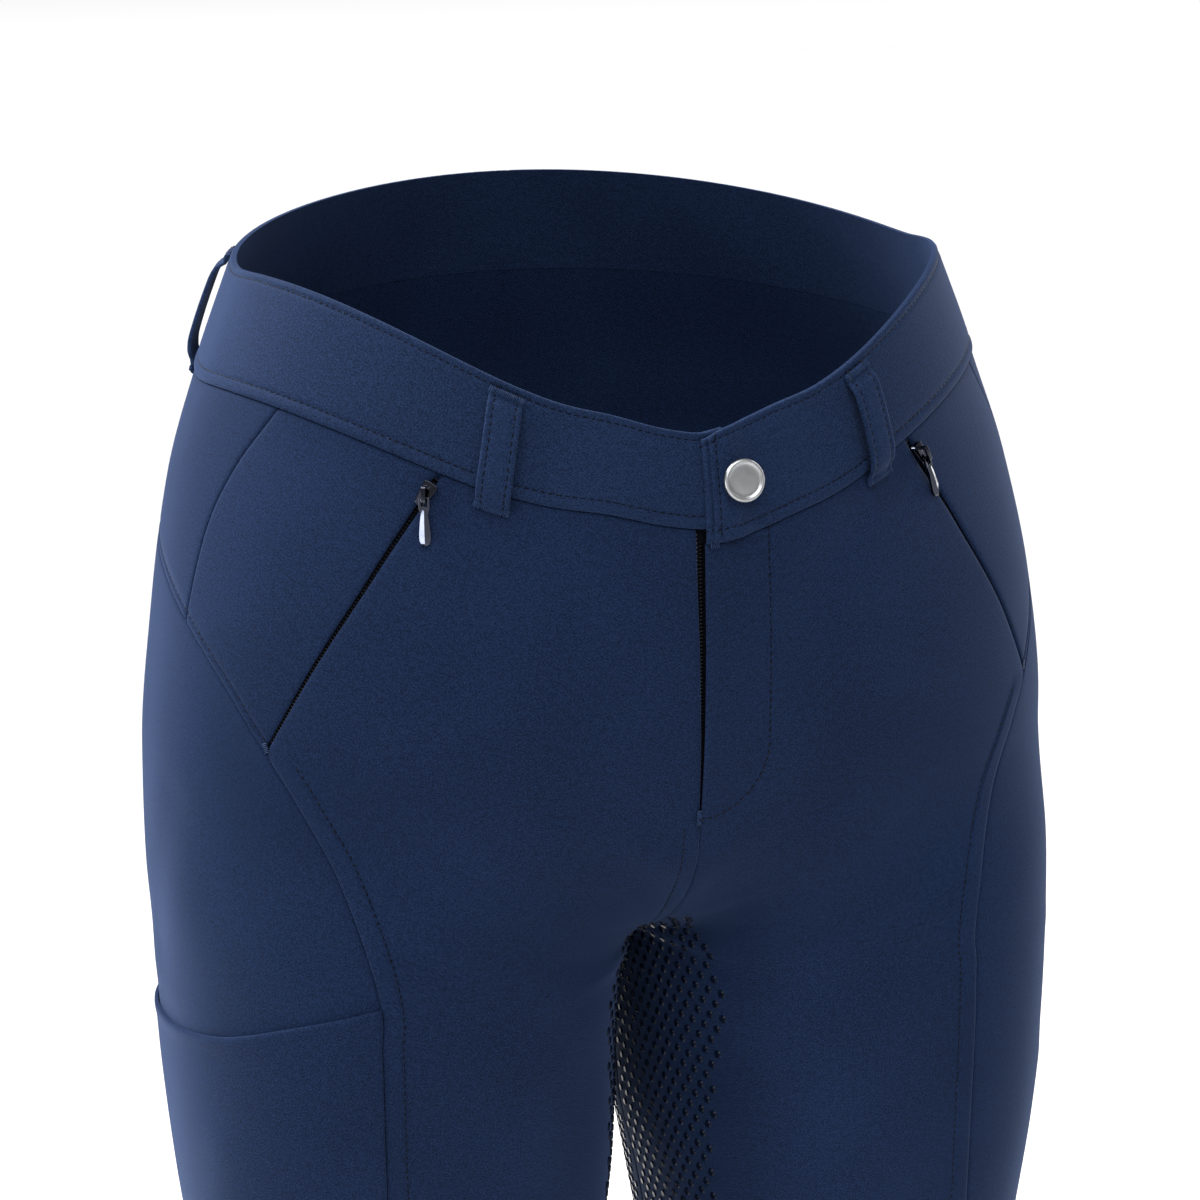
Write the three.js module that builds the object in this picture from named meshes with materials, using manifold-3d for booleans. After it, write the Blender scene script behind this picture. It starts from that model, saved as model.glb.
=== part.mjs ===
// Riding breeches, worn and empty: the pieces a maker cuts and sews, each one closed body in millimetres.
// +Z is up and the front faces -Y, so the wearer's right is at -X.
// The origin is the middle of the waist ring, half way up the waistband at the sides.
import * as THREE from "three";
import { mergeVertices } from "three/addons/utils/BufferGeometryUtils.js";
import Module from "manifold-3d";

const wasm = await Module();
wasm.setup();

// Cloth and seams
const WALL = 1.3;
const HALF_SEAM = 0.15;
const SLANTED_HALF_SEAM = 0.25;
const LAYER_GAP = 0.35;
const UNDERLAY_GAP = 0.6;

// Levels, measured at the side of the body
const BAND_TOP = 20;
const BAND_BOTTOM = -20;
const HEM = -930;
const CROTCH = -240;
const FRONT_FORK = -165;
const BACK_FORK = -135;
const YOKE_BACK = -78;
const POCKET_FOOT = -138;
const FLY_FOOT = -166;

// Waistband and its front tab
const BAND_RAISE = 0.8;
const BAND_WALL = 2.2;
const TAB_RAISE = 2.6;
const TAB_START = 0.045;
const TAB_END = 0.085;
const UNDERLAP = 0.042;

// Centre front opening
const FLY_OPEN_TOP = 3.2;
const FLY_OPEN_FOOT = 0.4;
const FLAP_RAISE = 1.1;
const FLAP_END = 0.07;
const FLY_TAPE_HALF = 8;

// Snap button on the tab
const BUTTON = { u: 0.06, level: -2, radius: 7.6, rim: 1.1, height: 2.6, stand: 0.5 };

// Belt loops
const LOOP_HALF_WIDTH = 6.2;
const LOOP_CLOTH = 1.6;
const LOOP_STAND = 4.6;
const LOOP_TOP = 17;
const LOOP_FOOT = -27;

// Hip pocket zips and their sliders
const ZIP_HALF_SLIT = 0.8;
const ZIP_TOP = -23;
const TAPE_HALF = 7;
const TAPE_THICK = 0.8;
const SLIDER = { level: -29, length: 9, width: 5.4, thick: 1.8, stand: 0.8 };
const BRIDGE = { width: 1.5, length: 6, height: 3.2, bar: 0.9 };
const PULL = { length: 16, halfWidth: 1.9, neck: 1.35, thick: 0.9, eyeLength: 3.4, eyeHalf: 1.15, rim: 0.75 };
const PULL_AXLE_STAND = 1.35;
const PULL_LEAN = THREE.MathUtils.degToRad(9);

// Thigh pocket on the right side panel
const PATCH_GAP = 0.45;
const PATCH_WALL = 1.1;
const PATCH_FOOT = -398;

// The body's sections, from the waist to the hem. Each row holds the level, the reach outwards and
// inwards from the middle plane, the reach to the front and the back, the middle of the depth, how far
// the front and the back stand above the side, and how square the front and back corners are.
const SECTION_NAMES = [
  "level", "outer", "inner", "front", "back", "mid", "frontRise", "backRise", "frontSquare", "backSquare",
];
const SECTIONS = [
  [20, 135, 0, 113, 108, 2, -55, 25, 1.95, 2.15],
  [-20, 151, 0, 118, 118, 2, -50, 23, 1.95, 2.15],
  [-60, 164, 0, 118, 128, 2, -41, 20, 2.1, 2.15],
  [-110, 173, 0, 116, 134, 3, -29, 13, 2.4, 2.15],
  [-160, 179, 0, 110, 134, 4, -17, 8, 2.5, 2.15],
  [-205, 180, 0, 103, 124, 4, -6, 3, 2.5, 2.15],
  [-240, 179, 0, 100, 113, 5, 0, 0, 2.5, 2.15],
  [-247, 179, 2.5, 100, 111, 5, 0, 0, 2.5, 2.15],
  [-258, 178.5, 4, 100, 108, 5, 0, 0, 2.5, 2.15],
  [-280, 178, 6, 99, 103, 5, 0, 0, 2.5, 2.15],
  [-330, 175, 8, 96, 94, 4, 0, 0, 2.45, 2.15],
  [-400, 167, 17, 89, 80, 3, 0, 0, 2.3, 2.15],
  [-480, 160, 31, 78, 65, 2, 0, 0, 2.2, 2.15],
  [-560, 157, 41, 67, 57, 1, 0, 0, 2.1, 2.1],
  [-620, 155, 46, 57, 61, 3, 0, 0, 2.1, 2.1],
  [-690, 152, 49, 47, 68, 6, 0, 0, 2.1, 2.1],
  [-780, 147, 55, 39, 62, 7, 0, 0, 2.05, 2.05],
  [-860, 142, 61, 35, 51, 6, 0, 0, 2, 2],
  [-930, 139, 65, 34, 44, 4, 0, 0, 2, 2],
];
const FRONT_RISE_POWER = 3.6;
const BACK_RISE_POWER = 1.5;
const CROTCH_SPREAD = 0.24;
const GROIN_SPREAD = 0.16;
const ARCH_SOFTNESS = 12;

// The front of the waist waves a little above and below its even curve.
const WAIST_WAVE = [
  { u: 0, raise: 1.5 },
  { u: 0.06, raise: 3 },
  { u: 0.13, raise: 4.5 },
  { u: 0.2, raise: 2 },
  { u: 0.27, raise: 0 },
  { u: 0.36, raise: -1.5 },
  { u: 0.46, raise: 0 },
];
const WAVE_FOOT = -110;
const WAVE_FADE = 80;

// The waistband's lower edge. The left half deepens towards its tab, and the right half narrows.
const BAND_FOOT = {
  right: [
    { u: 0, level: -17.5 },
    { u: 0.15, level: -17.8 },
    { u: 0.26, level: BAND_BOTTOM },
  ],
  left: [
    { u: 0, level: -23.5 },
    { u: 0.1, level: -24.5 },
    { u: 0.2, level: -22 },
    { u: 0.265, level: BAND_BOTTOM },
  ],
};
const TAB_CORNER_DROP = 2.5;
const TAB_CORNER_REACH = 0.045;

// Seams, as places round the half body: u is 0 at the centre front and inside leg, 0.5 at the side and
// 1 at the centre back and inside leg again.
const POCKET_SEAM = [
  { level: BAND_BOTTOM, u: 0.281 },
  { level: POCKET_FOOT, u: 0.355 },
];
const THIGH_SEAM = [
  { level: POCKET_FOOT, u: 0.355 },
  { level: -155, u: 0.333 },
  { level: -183, u: 0.31 },
  { level: -211, u: 0.301 },
  { level: -240, u: 0.297 },
  { level: -285, u: 0.296 },
  { level: -400, u: 0.305 },
  { level: -560, u: 0.325 },
  { level: -700, u: 0.345 },
  { level: HEM, u: 0.36 },
];
const YOKE_SEAM = [
  { level: BAND_BOTTOM, u: 0.4 },
  { level: -43, u: 0.42 },
  { level: -71, u: 0.434 },
  { level: -101, u: 0.438 },
];
const HIP_SEAM = [
  { u: 0.355, level: POCKET_FOOT },
  { u: 0.389, level: -119 },
  { u: 0.438, level: -101 },
  { u: 0.495, level: -88 },
  { u: 0.56, level: -80 },
  { u: 0.62, level: YOKE_BACK },
  { u: 1, level: YOKE_BACK },
];
const PATCH_EDGE = [
  { u: 0.296, level: -233 },
  { u: 0.347, level: -240 },
  { u: 0.405, level: -251 },
  { u: 0.5, level: -263 },
  { u: 0.62, level: -270 },
];
const BACK_SEAM_U = 0.62;
const YOKE_FOOT = -101;

// Levels at which the long panels are cut into rows
const ROW_LEVELS = [
  -20, -42, -66, -90, -115, -138, -150, -163, -177, -192, -206, -219, -230, -240, -247, -256, -268,
  -285, -310, -345, -390, -440, -490, -540, -590, -640, -700, -770, -850, -930,
];

const cloth = new THREE.MeshStandardMaterial({ color: 0x24355a, roughness: 0.85, side: THREE.DoubleSide });
const bandCloth = new THREE.MeshStandardMaterial({ color: 0x293c63, roughness: 0.85 });
const tapeCloth = new THREE.MeshStandardMaterial({ color: 0x10131c, roughness: 0.9 });
const satinMetal = new THREE.MeshStandardMaterial({ color: 0x9a9ea2, roughness: 0.35, metalness: 1 });
const darkMetal = new THREE.MeshStandardMaterial({ color: 0x4a4f58, roughness: 0.25, metalness: 1 });

const breeches = new THREE.Group();
const lerp = THREE.MathUtils.lerp;
const clamp = THREE.MathUtils.clamp;
const ease = (x) => THREE.MathUtils.smoothstep(x, 0, 1);

// A smooth curve through a table's column, flat where the table turns, and constant past its ends.
function smoothColumn(places, values) {
  const last = places.length - 1;
  const slope = (i) => (values[i + 1] - values[i]) / (places[i + 1] - places[i]);
  const tangents = values.map((_, i) => {
    if (i === 0) return slope(0);
    if (i === last) return slope(last - 1);
    const before = slope(i - 1);
    const after = slope(i);
    return before * after <= 0 ? 0 : (2 * before * after) / (before + after);
  });
  const rising = places[last] > places[0];
  return (x) => {
    let i = 0;
    while (i < last - 1 && (rising ? x > places[i + 1] : x < places[i + 1])) i++;
    const width = places[i + 1] - places[i];
    const t = clamp((x - places[i]) / width, 0, 1);
    const t2 = t * t;
    const t3 = t2 * t;
    return (
      (2 * t3 - 3 * t2 + 1) * values[i] +
      (t3 - 2 * t2 + t) * width * tangents[i] +
      (3 * t2 - 2 * t3) * values[i + 1] +
      (t3 - t2) * width * tangents[i + 1]
    );
  };
}

const section = Object.fromEntries(
  SECTION_NAMES.slice(1).map((name, i) => [
    name,
    smoothColumn(SECTIONS.map((row) => row[0]), SECTIONS.map((row) => row[i + 1])),
  ]),
);
const uOnLevel = (seam) => smoothColumn(seam.map((p) => p.level), seam.map((p) => p.u));
const levelOnU = (seam) => smoothColumn(seam.map((p) => p.u), seam.map((p) => p.level));
const pocketU = uOnLevel(POCKET_SEAM);
const thighU = uOnLevel(THIGH_SEAM);
const yokeU = uOnLevel(YOKE_SEAM);
const hipLevel = levelOnU(HIP_SEAM);
const patchLevel = levelOnU(PATCH_EDGE);
const bandFoot = { right: levelOnU(BAND_FOOT.right), left: levelOnU(BAND_FOOT.left) };
const waistWave = smoothColumn(WAIST_WAVE.map((p) => p.u), WAIST_WAVE.map((p) => p.raise));
const frontEdgeU = (level) => (level > POCKET_FOOT ? pocketU(level) : thighU(level));

// The height of the body's centre line at a level: it runs down the front or back, then along the
// crotch curve, then over the arch between the legs.
function endHeight(level, isFront) {
  const fork = isFront ? FRONT_FORK : BACK_FORK;
  const rise = isFront ? section.frontRise : section.backRise;
  if (level >= fork) return level + rise(level);
  const forkHeight = fork + rise(fork);
  const below = Math.max(CROTCH - level, 0);
  if (below > 0) return CROTCH - (below * below) / (below + ARCH_SOFTNESS);
  const along = (fork - level) / (fork - CROTCH);
  return lerp(forkHeight, CROTCH, Math.sin((along * Math.PI) / 2));
}

// A point of the outer face of the body cloth on the wearer's right. A negative u lies past the
// centre line, on the left.
function rightPoint(signedU, level) {
  const u = Math.abs(signedU);
  const isFront = u < 0.5;
  const outer = section.outer(level);
  const inner = section.inner(level);
  const mid = section.mid(level);
  const reach = isFront ? -section.front(level) - mid : section.back(level) - mid;
  const square = isFront ? section.frontSquare(level) : section.backSquare(level);
  const round = (angle) =>
    (Math.abs(Math.cos(angle)) ** square + Math.abs(Math.sin(angle)) ** square) ** (-1 / square);

  const bodyAngle = Math.PI * (u - Math.sin(2 * Math.PI * u) / 12);
  const legAngle = 2 * Math.PI * u;
  const fork = isFront ? FRONT_FORK : BACK_FORK;
  const along = clamp((fork - level) / (fork - CROTCH), 0, 1);
  const fromEnd = ease((isFront ? u : 1 - u) / GROIN_SPREAD);
  const legShare = lerp(1 - Math.cos((along * Math.PI) / 2), ease(along), fromEnd);
  const bodyX = outer * Math.sin(bodyAngle) * round(bodyAngle);
  const bodyY = mid + reach * Math.abs(Math.cos(bodyAngle)) * round(bodyAngle);
  const legX = (outer + inner) / 2 - ((outer - inner) / 2) * Math.cos(legAngle) * round(legAngle);
  const legY = mid + reach * Math.abs(Math.sin(legAngle)) * round(legAngle);

  const rise = isFront ? section.frontRise(level) : section.backRise(level);
  const power = isFront ? FRONT_RISE_POWER : BACK_RISE_POWER;
  const wave = waistWave(u) * clamp((level - WAVE_FOOT) / WAVE_FADE, 0, 1);
  const plain = level + wave + rise * Math.abs(Math.cos(bodyAngle)) ** power;
  const nearEnd = 1 - ease((isFront ? u : 1 - u) / CROTCH_SPREAD);
  const fade = clamp((level + 900) / 500, 0, 1);
  const height = plain + nearEnd * fade * (endHeight(level, isFront) - level - rise);
  const x = lerp(bodyX, legX, legShare) * (signedU < 0 ? -1 : 1);
  return new THREE.Vector3(-x, lerp(bodyY, legY, legShare), height);
}

function formPoint(u, level, side) {
  const point = rightPoint(u, level);
  if (side === "left") point.x = -point.x;
  return point;
}

const PROBE_U = 0.006;
const PROBE_LEVEL = 2;

// The outward direction of the body cloth, from its slopes round and down the body.
function formNormal(u, level, side) {
  const near = Math.abs(u) < 0.03 && level > FRONT_FORK ? u : clamp(u, 2 * PROBE_U, 1 - 2 * PROBE_U);
  const round = formPoint(near + PROBE_U, level, "right").sub(formPoint(near - PROBE_U, level, "right"));
  const up = formPoint(near, level + PROBE_LEVEL, "right").sub(formPoint(near, level - PROBE_LEVEL, "right"));
  const normal = up.cross(round).normalize();
  if (side === "left") normal.x = -normal.x;
  return normal;
}

function lifted(u, level, side, lift) {
  return formPoint(u, level, side).addScaledVector(formNormal(u, level, side), lift);
}

// Moves u by a distance in millimetres measured round the body.
function shiftU(u, level, distance) {
  const beside = u < 0.5 ? u + PROBE_U : u - PROBE_U;
  const speed = formPoint(u, level, "right").distanceTo(formPoint(beside, level, "right")) / PROBE_U;
  return u + distance / speed;
}

// A closed body between two grids of points of the same size.
function slab(name, outer, inner, material) {
  const rows = outer.length;
  const columns = outer[0].length;
  const positions = [...outer.flat(), ...inner.flat()].flatMap((p) => [p.x, p.y, p.z]);
  const top = (r, c) => r * columns + c;
  const bottom = (r, c) => rows * columns + top(r, c);
  const index = [];
  const quad = (a, b, c, d) => index.push(a, b, c, a, c, d);
  for (let r = 0; r < rows - 1; r++)
    for (let c = 0; c < columns - 1; c++) {
      quad(top(r, c), top(r + 1, c), top(r + 1, c + 1), top(r, c + 1));
      quad(bottom(r, c), bottom(r, c + 1), bottom(r + 1, c + 1), bottom(r + 1, c));
    }
  for (let r = 0; r < rows - 1; r++) {
    quad(top(r, 0), bottom(r, 0), bottom(r + 1, 0), top(r + 1, 0));
    quad(top(r, columns - 1), top(r + 1, columns - 1), bottom(r + 1, columns - 1), bottom(r, columns - 1));
  }
  for (let c = 0; c < columns - 1; c++) {
    quad(top(0, c), top(0, c + 1), bottom(0, c + 1), bottom(0, c));
    quad(top(rows - 1, c), bottom(rows - 1, c), bottom(rows - 1, c + 1), top(rows - 1, c + 1));
  }
  const geometry = new THREE.BufferGeometry();
  geometry.setAttribute("position", new THREE.Float32BufferAttribute(positions, 3));
  geometry.setIndex(index);
  if (signedVolume(geometry) < 0) geometry.setIndex(turned(index));
  geometry.computeVertexNormals();
  addMesh(name, geometry, material);
}

function turned(index) {
  return index.map((_, i) => index[i - (i % 3) + [0, 2, 1][i % 3]]);
}

function signedVolume(geometry) {
  const position = geometry.getAttribute("position");
  const corner = (i) => new THREE.Vector3().fromBufferAttribute(position, geometry.index.array[i]);
  let sum = 0;
  for (let i = 0; i < geometry.index.count; i += 3) sum += corner(i).dot(corner(i + 1).cross(corner(i + 2)));
  return sum / 6;
}

function addMesh(name, geometry, material) {
  const mesh = new THREE.Mesh(geometry, material);
  mesh.name = name;
  breeches.add(mesh);
  return mesh;
}

// A cloth piece over places of the form: place(s, t) gives its u and level, lift(u, level) its outer face.
function clothPiece(name, side, { rows, columns, place, lift = () => 0, wall = WALL, material = cloth }) {
  const outer = [];
  const inner = [];
  for (const t of rows) {
    const places = columns.map((s) => place(s, t));
    outer.push(places.map(([u, level]) => lifted(u, level, side, lift(u, level))));
    inner.push(places.map(([u, level]) => lifted(u, level, side, lift(u, level) - wall)));
  }
  slab(name, outer, inner, material);
}

const steps = (count) => Array.from({ length: count + 1 }, (_, i) => i / count);
const gatheredAtEnds = (count) => steps(count).map((s) => (1 - Math.cos(s * Math.PI)) / 2);
const gatheredAtEnd = (count) => steps(count).map((s) => Math.sin((s * Math.PI) / 2));

// Front of the leg and belly, from the centre front to the pocket and thigh seams
function frontPanel(side) {
  const opening = (level) => {
    if (side === "left" || level < FLY_FOOT) return HALF_SEAM;
    return lerp(FLY_OPEN_FOOT, FLY_OPEN_TOP, clamp((level - FLY_FOOT) / (BAND_BOTTOM - FLY_FOOT), 0, 1));
  };
  const outerGap = (level) => (level > POCKET_FOOT ? ZIP_HALF_SLIT : SLANTED_HALF_SEAM);
  clothPiece("front_" + side, side, {
    rows: ROW_LEVELS,
    columns: gatheredAtEnds(16),
    place: (s, rowLevel) => {
      const start = shiftU(0, rowLevel, opening(rowLevel));
      const u = lerp(start, shiftU(frontEdgeU(rowLevel), rowLevel, -outerGap(rowLevel)), s);
      return [u, rowLevel === BAND_BOTTOM ? bandFoot[side](u) - HALF_SEAM : rowLevel];
    },
    lift: (u, level) => (side === "left" ? flapLift(u, level) : 0),
  });
}

// The fly flap is the left front's doubled edge, so it stands a little off the right front.
function flapLift(u, level) {
  const across = 1 - ease(u / FLAP_END);
  const down = ease((level - FLY_FOOT + 8) / 24);
  return FLAP_RAISE * across * down;
}

// Hip panel behind the pocket zip, down to the hip seam
function hipPanel(side) {
  const start = YOKE_FOOT;
  clothPiece("hip_" + side, side, {
    rows: steps(9),
    columns: steps(5),
    place: (s, t) => {
      const frontLevel = lerp(BAND_BOTTOM, POCKET_FOOT, t);
      const backLevel = lerp(BAND_BOTTOM, start, t);
      const u = lerp(pocketU(frontLevel), yokeU(backLevel), s);
      const footU = lerp(pocketU(POCKET_FOOT), yokeU(start), s);
      const foot = hipLevel(footU) - lerp(POCKET_FOOT, start, s);
      const level = lerp(frontLevel, backLevel, s) + foot * t;
      const gap = lerp(ZIP_HALF_SLIT, -SLANTED_HALF_SEAM, s) * (s === 0 || s === 1 ? 1 : 0);
      return [shiftU(u, level, gap), level + lerp(-HALF_SEAM, 2 * SLANTED_HALF_SEAM, t)];
    },
  });
}

// Back yoke, between the waistband and the hip seam, from the yoke seam to the centre back
function backYoke(side) {
  clothPiece("yoke_" + side, side, {
    rows: steps(4),
    columns: steps(18),
    place: (s, t) => {
      const frontLevel = lerp(BAND_BOTTOM, YOKE_FOOT, t);
      const startU = shiftU(yokeU(frontLevel), frontLevel, SLANTED_HALF_SEAM);
      const endU = shiftU(1, frontLevel, -HALF_SEAM);
      const u = lerp(startU, endU, s);
      const level = frontLevel + (hipLevel(u) - hipLevel(startU)) * t;
      return [u, level + lerp(-HALF_SEAM, SLANTED_HALF_SEAM, t)];
    },
  });
}

// Rows of the side and seat follow the rising hip seam at their top and lie level below these reaches.
const SIDE_FADE = 170;
const SEAT_FADE = 80;

// Side panel of the leg, under the hip seam, from the thigh seam to the back seam
function sidePanel(side) {
  clothPiece("side_" + side, side, {
    rows: ROW_LEVELS.filter((level) => level <= POCKET_FOOT),
    columns: steps(12),
    place: (s, rowLevel) => {
      const startU = shiftU(thighU(rowLevel), rowLevel, SLANTED_HALF_SEAM);
      const endU = shiftU(BACK_SEAM_U, rowLevel, -HALF_SEAM);
      const u = lerp(startU, endU, s);
      const rise = u > pocketU(POCKET_FOOT) ? hipLevel(u) - POCKET_FOOT : 0;
      const fade = rowFade(rowLevel, SIDE_FADE);
      const gap = rowLevel === POCKET_FOOT ? SLANTED_HALF_SEAM : 0;
      return [u, rowLevel + rise * fade - gap];
    },
  });
}

// How much of the hip seam's rise a row of the side or seat still follows
const rowFade = (rowLevel, reach) => 1 - ease((POCKET_FOOT - rowLevel) / reach);

// Seat and inside leg, from the back seam to the centre back and inside leg seams
function seatPanel(side) {
  clothPiece("seat_" + side, side, {
    rows: ROW_LEVELS.filter((level) => level <= POCKET_FOOT),
    columns: gatheredAtEnd(12),
    place: (s, rowLevel) => {
      const rise = YOKE_BACK - POCKET_FOOT;
      const fade = lerp(rowFade(rowLevel, SIDE_FADE), rowFade(rowLevel, SEAT_FADE), s);
      const gap = rowLevel === POCKET_FOOT ? SLANTED_HALF_SEAM : 0;
      const level = rowLevel + rise * fade - gap;
      const startU = shiftU(BACK_SEAM_U, level, HALF_SEAM);
      return [lerp(startU, shiftU(1, level, -HALF_SEAM), s), level];
    },
  });
}

// One half of the waistband. The left half ends in a tab that lies on the right half's underlap.
function waistband(side) {
  const isLeft = side === "left";
  const start = isLeft ? 0 : -UNDERLAP;
  const rows = steps(3);
  clothPiece("waistband_" + side, side, {
    rows,
    columns: steps(30),
    place: (s, t) => {
      const u = lerp(start, shiftU(1, lerp(BAND_TOP, BAND_BOTTOM, t), -HALF_SEAM), s ** 1.25);
      const top = BAND_TOP - (isLeft ? TAB_CORNER_DROP * (1 - ease(u / TAB_CORNER_REACH)) : 0);
      return [u, lerp(top, bandFoot[side](Math.abs(u)) + HALF_SEAM, t)];
    },
    lift: (u) => BAND_RAISE + (isLeft ? TAB_RAISE * (1 - ease((u - TAB_START) / (TAB_END - TAB_START))) : 0),
    wall: BAND_WALL,
    material: bandCloth,
  });
}

// A belt loop: a strip sewn down above and below the band, standing off it between.
function beltLoop(name, side, u) {
  const path = [
    { level: LOOP_TOP, lift: BAND_RAISE + LAYER_GAP },
    { level: LOOP_TOP - 3, lift: BAND_RAISE + LAYER_GAP },
    { level: LOOP_TOP - 6, lift: LOOP_STAND - 0.9 },
    { level: LOOP_TOP - 11, lift: LOOP_STAND },
    { level: (LOOP_TOP + LOOP_FOOT) / 2, lift: LOOP_STAND + 0.2 },
    { level: LOOP_FOOT + 12, lift: LOOP_STAND },
    { level: LOOP_FOOT + 7, lift: LOOP_STAND - 1.1 },
    { level: LOOP_FOOT + 3.5, lift: BAND_RAISE + LAYER_GAP },
    { level: LOOP_FOOT, lift: LAYER_GAP },
  ];
  clothPiece(name, side, {
    rows: path,
    columns: steps(3),
    place: (s, knot) => [shiftU(u, knot.level, lerp(-LOOP_HALF_WIDTH, LOOP_HALF_WIDTH, s)), knot.level],
    lift: (_, level) => LOOP_CLOTH + path.find((knot) => knot.level === level).lift,
    wall: LOOP_CLOTH,
    material: bandCloth,
  });
}

// Zip tape under the slit between the front and hip panels
function pocketTape(side) {
  clothPiece("pocket_zip_" + side, side, {
    rows: steps(8).map((t) => lerp(ZIP_TOP, POCKET_FOOT + 4, t)),
    columns: steps(3),
    place: (s, level) => [shiftU(pocketU(level), level, lerp(-TAPE_HALF, TAPE_HALF, s)), level],
    lift: () => -WALL - UNDERLAY_GAP,
    wall: TAPE_THICK,
    material: tapeCloth,
  });
}

// Zip tape behind the centre front opening
function flyTape() {
  clothPiece("fly_zip", "right", {
    rows: steps(9).map((t) => lerp(ZIP_TOP, FLY_FOOT + 6, t)),
    columns: steps(4),
    place: (s, level) => [shiftU(0, level, lerp(-FLY_TAPE_HALF, FLY_TAPE_HALF, s)), level],
    lift: () => -WALL - UNDERLAY_GAP,
    wall: TAPE_THICK,
    material: tapeCloth,
  });
}

// Thigh pocket on the right side panel, open along its curved top edge
function thighPocket() {
  clothPiece("thigh_pocket", "right", {
    rows: steps(8),
    columns: steps(12),
    place: (s, t) => {
      const frontLevel = lerp(patchLevel(PATCH_EDGE[0].u), PATCH_FOOT, t);
      const startU = shiftU(thighU(frontLevel), frontLevel, 2 * HALF_SEAM);
      const endU = shiftU(BACK_SEAM_U, frontLevel, -HALF_SEAM);
      const u = lerp(startU, endU, s);
      return [u, frontLevel + (patchLevel(u) - patchLevel(PATCH_EDGE[0].u)) * (1 - t)];
    },
    lift: () => PATCH_GAP + PATCH_WALL,
    wall: PATCH_WALL,
  });
}

// Axes on the cloth at a place: across and along the given direction in the cloth, and out of it.
function clothAxes(u, level, side, direction) {
  const out = formNormal(u, level, side);
  const along = direction.clone().addScaledVector(out, -direction.dot(out)).normalize();
  const across = new THREE.Vector3().crossVectors(along, out);
  return new THREE.Matrix4().makeBasis(across, along, out);
}

// Snap button, a low cap with a rolled rim
function snapButton() {
  const { u, level, radius, rim, height, stand } = BUTTON;
  const profile = [
    [0, 0],
    [radius - 1.4, 0],
    [radius - 0.4, 0.5],
    [radius, 1.3],
    [radius - 0.3, height - 0.3],
    [radius - 0.8, height],
    [radius - rim - 0.4, height - 0.25],
    [radius - rim - 1.2, height - 0.6],
    [radius * 0.4, height - 0.45],
    [0, height - 0.4],
  ].map(([r, z]) => new THREE.Vector2(r, z));
  const geometry = new THREE.LatheGeometry(profile, 24).rotateX(Math.PI / 2);
  const axes = clothAxes(u, level, "left", new THREE.Vector3(0, 0, 1));
  const seat = lifted(u, level, "left", BAND_RAISE + TAB_RAISE + stand);
  geometry.applyMatrix4(axes.setPosition(seat));
  addMesh("snap_button", closed(geometry), satinMetal);
}

// The same surface with its doubled points joined and its faces turned outwards.
function closed(geometry) {
  geometry.deleteAttribute("normal");
  geometry.deleteAttribute("uv");
  const merged = mergeVertices(geometry, 1e-4);
  const kept = [];
  const index = merged.index.array;
  for (let i = 0; i < index.length; i += 3) {
    const [a, b, c] = index.slice(i, i + 3);
    if (a !== b && b !== c && c !== a) kept.push(a, b, c);
  }
  merged.setIndex(kept);
  if (signedVolume(merged) < 0) merged.setIndex(turned(kept));
  merged.computeVertexNormals();
  return merged;
}

function toSolid(geometry) {
  const clean = closed(geometry);
  return new wasm.Manifold(
    new wasm.Mesh({
      numProp: 3,
      vertProperties: new Float32Array(clean.getAttribute("position").array),
      triVerts: new Uint32Array(clean.index.array),
    }),
  );
}

function fromSolid(solid) {
  const { vertProperties, triVerts } = solid.getMesh();
  const geometry = new THREE.BufferGeometry();
  geometry.setAttribute("position", new THREE.BufferAttribute(vertProperties, 3));
  geometry.setIndex(new THREE.BufferAttribute(triVerts, 1));
  geometry.computeVertexNormals();
  return geometry;
}

// A flat outline made into a plate of the given thickness, centred on its own plane.
function plate(outline, thickness, curveSegments = 6) {
  const geometry = new THREE.ExtrudeGeometry(outline, { depth: thickness, bevelEnabled: false, curveSegments });
  return geometry.translate(0, 0, -thickness / 2);
}

// Slider body seen from above: rounded, and narrower at the foot
function sliderOutline() {
  const { length, width } = SLIDER;
  const outline = new THREE.Shape();
  outline.moveTo(-width / 2, length / 2 - 1);
  outline.quadraticCurveTo(-width / 2, length / 2, 0, length / 2);
  outline.quadraticCurveTo(width / 2, length / 2, width / 2, length / 2 - 1);
  outline.lineTo(width * 0.34, -length / 2 + 0.8);
  outline.quadraticCurveTo(0, -length / 2 - 0.8, -width * 0.34, -length / 2 + 0.8);
  outline.closePath();
  return outline;
}

// Bridge seen from the side: an arch that the pull's eye goes round
function bridgeOutline() {
  const { length, height, bar } = BRIDGE;
  const half = length / 2;
  const outline = new THREE.Shape();
  outline.moveTo(-half, -0.3);
  outline.lineTo(-half, height - 1.2);
  outline.quadraticCurveTo(-half, height, -half + 1.2, height);
  outline.lineTo(half - 1.2, height);
  outline.quadraticCurveTo(half, height, half, height - 1.2);
  outline.lineTo(half, -0.3);
  outline.lineTo(half - bar, -0.3);
  outline.lineTo(half - bar, height - bar);
  outline.lineTo(-half + bar, height - bar);
  outline.lineTo(-half + bar, -0.3);
  outline.closePath();
  return outline;
}

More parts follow.
